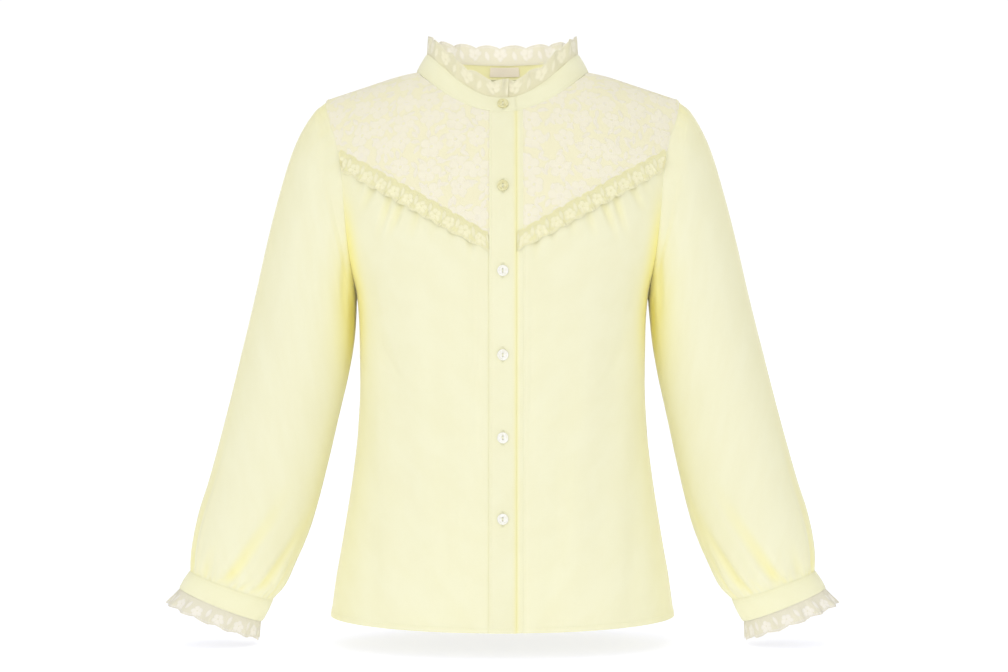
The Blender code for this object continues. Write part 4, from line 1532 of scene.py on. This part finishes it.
@dataclass
class Neck:
    """The collar band, its lace and the label inside it."""

    wardrobe: Wardrobe
    stitches: Stitching
    top_half: float = 84.0
    top_side: float = 16.0
    front_drop: float = 53.5
    back_drop: float = 2.0
    drop_power: float = 2.5
    top_front: float = 66.0
    top_back: float = 58.0
    lift: float = 0.5
    over_lap: float = math.radians(9)
    under_lap: float = math.radians(16.2)
    ease: float = math.radians(22)
    proud: float = 1.0
    sunk: float = 0.7
    lace_start: float = math.radians(-4)
    lace_end: float = math.radians(361)
    lace_height: float = 21.0
    lace_lean: float = -4.5
    lace_inset: float = 1.2
    scallop: float = 4.6
    tucked: float = 2.5
    # Painted shade: a deeper yellow on the front half of the collar lace and inside the back of the
    # band.
    front_tint: float = 0.45
    band_back_shade: float = 0.3
    frill: Frill = field(default_factory=lambda: Frill(17, 4.2, 0.2, seed=0.7))
    label_size: tuple[float, float] = (31.5, 11.0)
    label_x: float = 2.25
    label_off: float = 1.9
    label_wall: float = 0.35

    def out(self, turn: Array) -> Array:
        """How far the band stands out where its ends lap."""
        over = self.proud * (1 - fade((turn - self.over_lap) / self.ease))
        under = self.sunk * fade((turn - (TURN - self.under_lap - self.ease)) / self.ease)
        return over - under

    def top(self, turn: Array, out: Array) -> Array:
        """Points of the band's upper edge."""
        sine, cosine = np.sin(turn), np.cos(turn)
        ahead = cosine > 0
        reach = np.where(ahead, -self.top_front, self.top_back)
        dip = np.where(
            ahead, self.front_drop * np.abs(cosine) ** self.drop_power, self.back_drop * cosine**2
        )
        points = np.stack([-self.top_half * sine, reach * np.abs(cosine), self.top_side - dip], -1)
        flat = unit(points * np.array([1, 1, 0]))
        return points + flat * np.asarray(out)[..., None]

    def edges(self, turn: Array) -> tuple[Array, Array]:
        """The band's upper and lower points."""
        out = self.out(turn)
        x = -FORM.neck_half * np.sin(turn)
        front = np.cos(turn) > 0
        low = FORM.point(x, FORM.neck_height(x, front), front, out)
        high = self.top(turn, out)
        up = unit(high - low)
        return high, low + up * (self.lift + np.maximum(out, 0.0) / 2)[..., None]

    def band(self) -> None:
        """The stand collar."""
        start = -math.asin(FORM.placket_left / FORM.neck_half)
        end = TURN + math.asin(-FORM.under_right / FORM.neck_half)
        turn = np.linspace(start, end, 300)
        high, low = self.edges(turn)
        v = spread(16)[:, None, None]
        panel = Panel("collar_band_cloth", high + (low - high) * v)
        down = v[..., 0]
        edge = np.minimum(down, 1 - down)
        u, _ = panel.lengths()
        draw = drawn(u, 8.0, 2.0, 0.16) * bell(edge, 0.2)
        panel.lift(0.5 * np.sin(down * math.pi) - 0.35 * bell(edge, 0.05) + draw)
        # Painted shade inside the back of the band, where the neck opening is in shade.
        tone = self.band_back_shade * fade(-np.cos(turn) * 2 - 0.6)
        panel.fold = np.broadcast_to(tone, panel.points.shape[:2])
        piece = panel.make(DOUBLE_WALL)
        dress(piece, self.wardrobe.cloth, Slot.CLOTH, "collar_band")
        Cut(20, 545, 0.9).declare(piece)
        for row in (1.6, 13.4):
            self.stitches.run(panel.line(row=row), 2.0, 2.0)

    def ruffle(self) -> None:
        """Lace that stands on the band."""
        turn = np.linspace(self.lace_start, self.lace_end, 760)
        u, v = spread(len(turn)), spread(16)[:, None]
        sine, cosine, level = np.sin(turn), np.cos(turn), np.zeros_like(turn)
        out, way = np.stack([-sine, -cosine, level], -1), np.stack([-cosine, sine, level], -1)
        rise = unit(np.array([0, 0, 1]) + out * (self.lace_lean / self.lace_height))
        base = self.top(turn, self.out(turn) - self.lace_inset) - np.array([0, 0, self.tucked])
        height = self.lace_height + self.tucked - self.scallop * self.frill.lobes(u)
        points = (
            base
            + rise * (height * v)[..., None]
            + out * self.frill.crest(u, v)[..., None]
            + way * self.frill.swing(u, v)[..., None]
        )
        panel = Panel("collar_lace", points[::-1])
        # Painted shade on the front half of the lace, which is seen against the shaded inside of
        # the band.
        panel.fold = np.broadcast_to(self.front_tint * fade(cosine + 0.3), points.shape[:2])
        along = np.broadcast_to(u * self.frill.waves * COLLAR_PITCH, points.shape[:2])
        piece = panel.make(LACE_WALL, uv=(along, (height * (1 - v))[::-1]))
        dress(piece, self.wardrobe.collar_lace, Slot.LACE, "collar_ruffle")
        Cut(21, 520, 0.95).declare(piece)

    def label(self) -> None:
        """A bare woven label inside the back of the band."""
        width, height = self.label_size
        offset = np.linspace(-width / 2, width / 2, 40)
        high, low = self.edges(math.pi + (offset + self.label_x) / self.top_half)
        up = unit(high - low)
        inward = unit(np.cross(np.gradient(high, axis=0), up))
        inward = inward * np.where(inward[:, 1:2] > 0, -1, 1)
        middle = (high + low) / 2 + inward * self.label_off
        down = np.linspace(0.5, -0.5, 12)[:, None, None]
        piece = Panel("bare_label", middle + up * height * down).make(self.label_wall)
        dress(piece, self.wardrobe.label, Slot.LABEL, "neck_label")
        Cut(width, height).declare(piece)

    def build(self) -> None:
        """Makes the band, its lace and the label."""
        self.band()
        self.ruffle()
        self.label()


@dataclass
class YokeTrim:
    """Gathered lace over one side's yoke seam."""

    side: Side
    wardrobe: Wardrobe
    width: float = 21.0
    above: float = 3.0
    off: float = 1.0
    sewn_drop: float = 1.2
    start_gap: float = 1.2
    end_gap: float = 2.5
    edge_gap: float = 1.0
    scallop: float = 2.4
    # Painted shade: how much deeper yellow the hollows between the waves get.
    tint: float = 0.12
    drape: float = 36.0
    end_reach: float = 7.0

    def build(self) -> None:
        """Makes the lace."""
        word, right = self.side.word, self.side is Side.RIGHT
        start = (-FORM.placket_right if right else FORM.placket_left) + self.start_gap
        end = FORM.yoke_side[0] - self.end_gap
        frill = Frill(11, 2.3, 0.2, uneven=0.35, sway=1.8, ripples=0.3, seed=2.1 + self.side.value)
        u, v = spread(380), spread(18)[:, None]
        run = unit(np.array([end - start, 0, FORM.yoke_seam(end) - FORM.yoke_seam(start)]))
        fall = np.array([run[2], -run[0]])
        x = start + (end - start) * u
        down = (self.width - self.scallop * frill.lobes(u)) * v - self.above
        lean = frill.swing(u, v)
        plumb = 1 - fade((x - start) / self.drape)
        at_x = x + fall[0] * down * (1 - plumb) + run[0] * lean
        at_z = FORM.yoke_seam(x) + (fall[1] * (1 - plumb) - plumb) * down + run[2] * lean
        at_x = np.clip(at_x, start - self.edge_gap, FORM.edge_width(at_z) - self.edge_gap)
        rise = self.off - self.sewn_drop * (1 - fade(v * 3)) + frill.crest(u, v)
        rise = rise * (0.25 + 0.75 * fade((x - start) / self.end_reach))
        points = self.side.mirror(FORM.point(at_x, at_z, True, rise))
        panel = Panel(f"yoke_lace_{word}", points)
        # Painted shade in the hollows between the waves.
        panel.fold = self.tint * (1 - frill.crest(u, v) / frill.depth)
        along = np.broadcast_to(u * frill.waves * TRIM_PITCH, points.shape[:2])
        inwards = np.broadcast_to(self.width * (1 - v), points.shape[:2])
        piece = panel.make(LACE_WALL, uv=(along, inwards))
        dress(piece, self.wardrobe.trim_lace, Slot.LACE, f"yoke_ruffle_{word}")
        Cut(21, 225, 0.95).declare(piece)


class Drag(NamedTuple):
    """A soft trough that runs down from the armhole. Angle in degrees, lengths in rings."""

    angle: float
    start: float
    length: float
    depth: float


DRAGS = (
    Drag(128, 0.5, 5.0, 1.5),
    Drag(152, 1.5, 6.5, 1.3),
    Drag(232, 0.5, 5.0, 1.6),
    Drag(206, 2.0, 6.0, 1.2),
)


@dataclass
class Arm:
    """A sleeve with its cuff and the lace below it."""

    side: Side
    wardrobe: Wardrobe
    stitches: Stitching
    gap: float = 0.05
    rows: int = 170
    around: int = 168
    lace_around: int = 520
    cuff_off: float = 0.6
    crease_fade: float = 0.7
    drag_turn: float = 14.0
    drag_half: float = 12.0
    # Painted shade: shares of it in the creases, puckers, gathers and drags, then a deeper yellow
    # along the inner and outer sides and where the sleeve lies beside the body.
    tone: tuple[float, float, float, float] = (0.1, 0.2, 0.12, 0.1)
    inner_side_shade: float = 0.12
    outer_side_shade: float = 0.4
    beside_body_shade: float = 0.95
    armhole_blend: float = 1.25
    scallop: float = 0.09

    def ring(self, table: Array, turn: Array, out: Array | float = 0.0) -> Array:
        """Points of sleeve sections. Turn 0 is the outer point and a quarter is the front.

        Args:
            table: the section's six numbers, in rows that broadcast with the turns.
            turn: places round the section.
            out: how far the points are moved outwards.

        Returns:
            The points.
        """
        outer_x, outer_z, inner_x, inner_z, half_depth, forward = np.moveaxis(table, -1, 0)
        size = np.hypot(outer_x - inner_x, outer_z - inner_z) / 2
        way_x, way_z = (outer_x - inner_x) / 2 / size, (outer_z - inner_z) / 2 / size
        cosine, sine = np.cos(turn), np.sin(turn)
        x = (outer_x + inner_x) / 2 + way_x * size * cosine
        z = (outer_z + inner_z) / 2 + way_z * size * cosine
        y = -forward - half_depth * sine
        away = stacked(way_x * cosine / size, -sine / half_depth, way_z * cosine / size)
        return stacked(x, y, z) + unit(away) * np.asarray(out)[..., None]

    def armhole(self, turn: Array) -> Array:
        """Points of the armhole, a little outside the panels' edge."""
        middle = (FORM.shoulder_tip + FORM.underarm) / 2
        half = (FORM.shoulder_tip - FORM.underarm) / 2
        z = middle + half * np.cos(turn)
        x = FORM.armhole(z)
        away = FORM.depth(x, z, np.sin(turn) >= 0)
        return np.stack([x + self.gap, np.copysign(away, -np.sin(turn)), z], -1)

    def creases(self, turn: Array, from_cuff: Array) -> Array:
        """Depth of the creases that start at the cuff."""
        degrees = np.degrees(turn) % 360
        total = np.zeros(np.broadcast(turn, from_cuff).shape)
        for row in CREASES:
            part = from_cuff / row.length
            centre = row.cuff_angle + (row.end_angle - row.cuff_angle) * part
            off = ((degrees - centre + 180) % 360 - 180) / row.half_angle
            left = (1 - fade(part)) ** self.crease_fade
            trough = hill(off) - 0.22 * (hill((off - 1.2) / 0.9) + hill((off + 1.2) / 0.9))
            total += np.where(part <= 1, row.depth * trough * left, 0.0)
        return total

    def drags(self, turn: Array, place: Array) -> Array:
        """Depth of the soft troughs that start at the armhole."""
        total = np.zeros(np.broadcast(turn, place).shape)
        for row in DRAGS:
            part = (place - row.start) / row.length
            lean = self.drag_turn * part * np.sign(row.angle - 180)
            off = (np.degrees(turn) - row.angle + lean) / self.drag_half
            total += row.depth * hill(off) * fade(part / 0.2) * fade((1 - part) / 0.5)
        return total

    def relief(self, turn: Array, place: Array) -> tuple[Array, Array]:
        """Everything that raises or sinks the sleeve's cloth.

        Args:
            turn: places round the sleeve.
            place: places along it, in rings from the armhole.

        Returns:
            Heights, and the painted shade in the folds.
        """
        from_cuff = len(SLEEVE) - place
        seed = 1.0 + self.side.value
        degrees = np.degrees(turn)
        deep = self.creases(turn, from_cuff) * np.clip(from_cuff / 1.5, 0, 1)
        fine = pucker(degrees, 9.5, seed) * np.exp(-from_cuff / 0.9) * fade(from_cuff / 0.25) * 1.5
        head = np.maximum(np.cos(turn), 0) ** 0.7 * np.exp(-place / 1.1) * fade(place / 0.3)
        gathers = pucker(degrees + 400, 11.0, seed + 2) * head
        long = 0.9 * np.sin(2 * turn + 0.35 * place + seed) * fade(place / 3) * fade(from_cuff / 3)
        drag = self.drags(turn, place)
        roll = -0.1 * bell(place, 0.16) - 0.05 * bell(from_cuff, 0.12)
        # Painted shade in the creases, puckers, gathers and drags.
        depths = (np.maximum(deep, 0), fine, gathers, drag)
        tone = sum(share * depth for share, depth in zip(self.tone, depths))
        return roll - deep - fine - gathers * 1.1 + long - drag, tone

    def tint(self, turn: Array, place: Array) -> Array:
        """Painted shade: a deeper colour along the sides, and where the sleeve lies beside the
        body.
        """
        inner, outer = np.clip(-np.cos(turn), 0, 1), np.clip(np.cos(turn), 0, 1)
        side = self.inner_side_shade * inner**6 + self.outer_side_shade * outer**6
        near = fade((8.5 - place) / 4.5) * fade((place + 2.2) / 2.2)
        return side + self.beside_body_shade * inner**2.5 * near

    def sleeve(self) -> None:
        """The sleeve, gathered into the armhole and the cuff."""
        word = self.side.word
        turn = np.linspace(0, TURN, self.around + 1)[None, :]
        place = (spread(self.rows) * len(SLEEVE))[:, None]
        first, second = np.array(SLEEVE[0]), np.array(SLEEVE[1])
        rings = np.vstack([2 * first - second, np.array(SLEEVE)])
        curves = [Profile(list(enumerate(column)), 0.05) for column in rings.T]
        points = self.ring(np.stack([curve(place) for curve in curves], -1), turn)
        pull = self.armhole(turn) - self.ring(rings[0][None, None, :], turn)
        points = points + pull * (1 - fade(place / self.armhole_blend))[..., None]
        panel = Panel(f"sleeve_cloth_{word}", self.side.mirror(points), wrap=True)
        relief, folds = self.relief(turn, place)
        panel.lift(relief)
        # Painted shade from the folds, the sides and the hollow beside the body.
        panel.fold = folds + self.tint(turn, place)
        points = self.side.mirror(panel.points)
        z = points[..., 2]
        edge = np.where(z > FORM.underarm, FORM.edge_width(z), ARMHOLE[-1].half_width)
        points[..., 0] = np.maximum(points[..., 0], edge + self.gap)
        panel.points = self.side.mirror(points)
        panel.tuck(0, False, under=0.1).tuck(0, True, along=1.2, under=0.2)
        piece = panel.make(CLOTH_WALL)
        dress(piece, self.wardrobe.cloth, Slot.CLOTH, f"sleeve_{word}")
        Cut(400, 530, 0.86).declare(piece)

    def cuff(self) -> None:
        """The plain band at the wrist."""
        word = self.side.word
        turn = np.linspace(0, TURN, 145)[None, :]
        v = np.linspace(-0.03, 1, 18)[:, None, None]
        top, low = np.array(CUFF_TOP), np.array(CUFF_LOW)
        points = self.ring(top + (low - top) * v, turn, self.cuff_off)
        panel = Panel(f"cuff_cloth_{word}", self.side.mirror(points), wrap=True)
        down = v[..., 0]
        edge = np.minimum(down, 1 - down)
        belly = 0.7 * np.sin(down * math.pi) - 0.2 * bell(edge, 0.05)
        panel.lift(belly + drawn(np.degrees(turn), 12.0, 3.0, 0.18) * bell(edge, 0.2))
        piece = panel.make(DOUBLE_WALL)
        dress(piece, self.wardrobe.cloth, Slot.CLOTH, f"cuff_{word}")
        Cut(24, 245, 0.95).declare(piece)
        for row in (1.7, 15.3):
            self.stitches.run(panel.line(row=row))

    def lace(self) -> None:
        """The lace that hangs from the cuff."""
        word = self.side.word
        frill = Frill(13, 4.5, 0.1, uneven=0.3, sway=1.5, ripples=0.3, seed=1.4 + self.side.value)
        turn = np.linspace(0, TURN, self.lace_around + 1)
        u, v = turn / TURN, spread(18)[:, None]
        top, foot = np.array(CUFF_LOW)[None, :], np.array(LACE_LOW)[None, :]
        low = self.ring(foot, turn)
        high = self.ring(top, turn, -self.cuff_off)
        high = high + unit(low - high) * self.cuff_off
        away = unit(self.ring(foot, turn, 1.0) - low)
        way = unit(np.gradient(low, axis=0))
        reach = v * (1 - self.scallop * frill.lobes(u))
        wave = frill.crest(u, v) - frill.depth * (frill.sewn + (1 - frill.sewn) * v)
        points = (
            high
            + (low - high) * reach[..., None]
            + away * wave[..., None]
            + way * frill.swing(u, v)[..., None]
        )
        points[:, -1] = points[:, 0]
        panel = Panel(f"cuff_lace_{word}", self.side.mirror(points), wrap=True)
        along = np.broadcast_to(u * frill.waves * COLLAR_PITCH, points.shape[:2])
        height = np.linalg.norm(low - high, axis=-1)
        piece = panel.make(LACE_WALL, uv=(along, height * (1 - v)))
        dress(piece, self.wardrobe.collar_lace, Slot.LACE, f"cuff_ruffle_{word}")
        Cut(21, 275, 0.95).declare(piece)

    def build(self) -> None:
        """Makes the sleeve, the cuff and its lace."""
        self.sleeve()
        self.cuff()
        self.lace()


@dataclass
class Buttons:
    """Six two-hole buttons down the placket, each in its buttonhole."""

    wardrobe: Wardrobe
    neck: Neck
    radius: float = 5.9
    thick: float = 2.2
    sides: int = 40
    rim: float = 1.25
    slope: float = 0.7
    dish: float = 0.55
    well_edge: float = 1.2
    well_dip: float = 0.12
    bevel: float = 0.28
    hole: float = 0.75
    hole_sides: int = 16
    apart: float = 1.6
    strands: tuple[float, ...] = (-0.42, 0.0, 0.42)
    strand_off: float = 0.05
    strand_over: float = 0.5
    x: float = 0.4
    off: float = 1.55
    heights: tuple[float, ...] = (-135.0, -224.0, -312.0, -399.5, -484.5)
    warm: int = 2
    slit: float = 7.6
    slit_off: float = 1.05
    slit_half: float = 0.95
    slit_pitch: float = 0.5
    slit_stitch: float = 1.3
    bar_steps: tuple[float, ...] = (-0.5, 0.0, 0.5)
    bar_stitch: float = 3.4

    def model(self) -> bpy.types.Object:
        """One button at the origin, its back down and its face up."""
        deselect()
        bpy.ops.mesh.primitive_cylinder_add(
            vertices=self.sides, radius=self.radius * MM, depth=self.thick * MM,
            location=(0, 0, self.thick / 2 * MM),
        )
        button = bpy.context.object
        bpy.ops.object.transform_apply(location=True)
        with editing("DESELECT"):
            pass  # clears the vertices and edges too, which the loop below doesn't
        for face in button.data.polygons:
            face.select = face.normal.z > 0.9
        with editing():
            bpy.ops.mesh.inset(thickness=self.rim * MM)
            for inset, drop in ((self.slope, self.dish), (self.well_edge, self.well_dip)):
                bpy.ops.mesh.inset(thickness=inset * MM)
                bpy.ops.transform.translate(value=(0, 0, -drop * MM))
        soft = button.modifiers.new("soft_edges", "BEVEL")
        soft.width = self.bevel * MM
        soft.segments = 3
        soft.limit_method = "ANGLE"
        soft.angle_limit = math.radians(25)
        apply_all(button)
        for sign in (-1, 1):
            deselect()
            bpy.ops.mesh.primitive_cylinder_add(
                vertices=self.hole_sides, radius=self.hole * MM, depth=4 * self.thick * MM,
                location=(0, sign * self.apart * MM, 0),
            )
            drill = bpy.context.object
            cut = button.modifiers.new("hole", "BOOLEAN")
            cut.object = drill
            cut.operation = "DIFFERENCE"
            cut.solver = "EXACT"
            apply_all(button)
            bpy.data.objects.remove(drill, do_unlink=True)
        only(button)
        bpy.ops.object.shade_smooth_by_angle(angle=math.radians(40))
        return button

    def spots(self) -> list[tuple[Vector, Vector]]:
        """Where each button sits on the placket, and which way is up there."""
        centre = np.array([0.0])
        base = FORM.point(centre, FORM.neck_height(centre, True), True)
        pairs = [(base[0], self.neck.top(centre, centre)[0])]
        for z in self.heights:
            ends = np.array([z - self.radius, z + self.radius])
            pairs.append(tuple(FORM.point(np.full(2, self.x), ends, True)))
        ends = [(Vector(low), Vector(high)) for low, high in pairs]
        return [((low + high) / 2, (high - low).normalized()) for low, high in ends]

    def build(self) -> None:
        """Makes the buttons, the threads in them and the stitched buttonholes."""
        model = self.model()
        threads = Stitching("button_threads", self.wardrobe.thread, width=0.5)
        slits = Stitching("buttonholes", self.wardrobe.thread, width=0.42)
        for number, (spot, up) in enumerate(self.spots(), 1):
            right = Vector((1, 0, 0))
            out = right.cross(up).normalized()
            base = Vector((self.x, spot.y, spot.z))
            spot = base + out * self.off
            turn = Matrix((right, up, out)).transposed().to_4x4()
            mesh = model.data.copy()
            mesh.transform(Matrix.Translation(spot * MM) @ turn)
            piece = put(f"pearl_button_{number}", mesh)
            finish = self.wardrobe.amber_pearl if number <= self.warm else self.wardrobe.pearl
            dress(piece, finish, Slot.PEARL, f"button_{number}")
            self.sew(threads, spot, up, out)
            self.work(slits, base + out * self.slit_off, up, out, right)
        bpy.data.objects.remove(model, do_unlink=True)
        threads.make()
        slits.make()

    def sew(self, threads: Stitching, spot: Vector, up: Vector, out: Vector) -> None:
        """Adds the strands that cross between the two holes."""
        face = spot + out * (self.thick - self.dish + self.strand_off)
        length = self.apart * 2 + self.strand_over
        for step in self.strands:
            at = np.array([face + Vector((step, 0, 0))])
            threads.add(at, np.array([out]), np.array([up]), length)

    def work(self, slits: Stitching, base: Vector, up: Vector, out: Vector, right: Vector) -> None:
        """Adds the satin stitches round one vertical buttonhole, and the bars at its ends."""
        places = np.arange(-self.slit, self.slit + 0.01, self.slit_pitch)
        for aside in (-self.slit_half, self.slit_half):
            at = np.array([base + up * float(p) + right * aside for p in places])
            outs, ways = (np.tile(way, (len(at), 1)) for way in (out, right))
            slits.add(at, outs, ways, self.slit_stitch)
        for end in (-self.slit, self.slit):
            at = np.array([base + up * (end + step) for step in self.bar_steps])
            outs, ways = (np.tile(way, (len(at), 1)) for way in (out, right))
            slits.add(at, outs, ways, self.bar_stitch)


class Sun(NamedTuple):
    """Soft light from one direction, in watts per square metre over an angle in degrees."""

    name: str
    way: tuple[float, float, float]
    strength: float
    spread: float


SUNS = (
    Sun("overhead", (-0.1, -0.2, 1.0), 0.6, 60.0),
    Sun("frontal", (-0.15, -1.0, 0.5), 0.45, 45.0),
    Sun("front_right", (-0.9, -1.0, 0.15), 0.38, 40.0),
    Sun("front_left", (0.9, -1.0, 0.15), 0.38, 40.0),
    Sun("rear", (0.2, 1.0, 0.6), 0.4, 60.0),
)


@dataclass
class Studio:
    """The pale floor, the soft lights and the camera. Lengths here are in metres."""

    wardrobe: Wardrobe
    distance: float = 2.4
    eye_x: float = 0.00165
    eye_z: float = -0.2926
    view_width: float = 1.1088
    sensor: float = 36.0
    floor_gap: float = 0.006
    floor_size: float = 60.0
    floor_cells: int = 8
    sky_seen: float = 1.05
    sky_light: float = 0.5
    fill_at: tuple[float, float, float] = (0, -0.05, -0.004)
    fill_target: tuple[float, float, float] = (0, 0.06, 0.004)
    fill_size: float = 0.05
    fill_power: float = 0.05

    def floor(self) -> None:
        """A wide plain floor just below the blouse."""
        deselect()
        height = CAD_BOX[0].z - self.floor_gap
        bpy.ops.mesh.primitive_grid_add(
            x_subdivisions=self.floor_cells, y_subdivisions=self.floor_cells,
            size=self.floor_size, location=(0, 0, height),
        )
        floor = bpy.context.object
        floor.name = "floor"
        floor.data.materials.append(self.wardrobe.floor)

    def neck_fill(self) -> None:
        """A small square soft light inside the neck, which faces the back of the collar."""
        lamp = bpy.data.lights.new("neck_fill", "AREA")
        lamp.size = self.fill_size
        lamp.energy = self.fill_power
        thing = put("neck_fill", lamp)
        thing.location = self.fill_at
        way = Vector(self.fill_target) - Vector(self.fill_at)
        thing.rotation_euler = way.to_track_quat("-Z", "Y").to_euler()

    def suns(self) -> None:
        """The lights that reach the blouse and the whole floor."""
        for sun in SUNS:
            lamp = bpy.data.lights.new(sun.name, "SUN")
            lamp.energy = sun.strength
            lamp.angle = math.radians(sun.spread)
            way = Vector(sun.way).to_track_quat("Z", "Y")
            put(sun.name, lamp).rotation_euler = way.to_euler()

    def world(self) -> None:
        """White surroundings: as seen, full white; as light, softer."""
        world = bpy.data.worlds.new("studio")
        bpy.context.scene.world = world
        world.use_nodes = True
        graph = Graph(world.node_tree)
        seen = graph.node("ShaderNodeLightPath").outputs["Is Camera Ray"]
        more = self.sky_seen - self.sky_light
        strength = graph.math("MULTIPLY_ADD", seen, more, self.sky_light)
        back = world.node_tree.nodes["Background"]
        graph.fill(back, {"Color": (1, 1, 1, 1), "Strength": strength})

    def camera(self) -> None:
        """The camera, level and straight ahead."""
        lens = bpy.data.cameras.new("camera")
        lens.sensor_width = self.sensor
        lens.lens = self.sensor * self.distance / self.view_width
        thing = put("camera", lens)
        thing.location = (self.eye_x, -self.distance, self.eye_z)
        thing.rotation_euler = (math.radians(90), 0, 0)
        bpy.context.scene.camera = thing

    def build(self) -> None:
        """Sets up the studio."""
        bpy.context.scene.view_settings.view_transform = "Standard"
        self.camera()
        self.world()
        self.floor()
        self.suns()
        self.neck_fill()


def main() -> None:
    """Builds the studio and the blouse."""
    wardrobe = Wardrobe()
    Studio(wardrobe).build()
    stitches = Stitching("topstitching", wardrobe.thread)
    neck = Neck(wardrobe, stitches)
    Bodice(wardrobe, stitches).build()
    neck.build()
    for side in Side:
        YokeTrim(side, wardrobe).build()
        Arm(side, wardrobe, stitches).build()
    Buttons(wardrobe, neck).build()
    stitches.make()


if __name__ == "__main__":
    main()
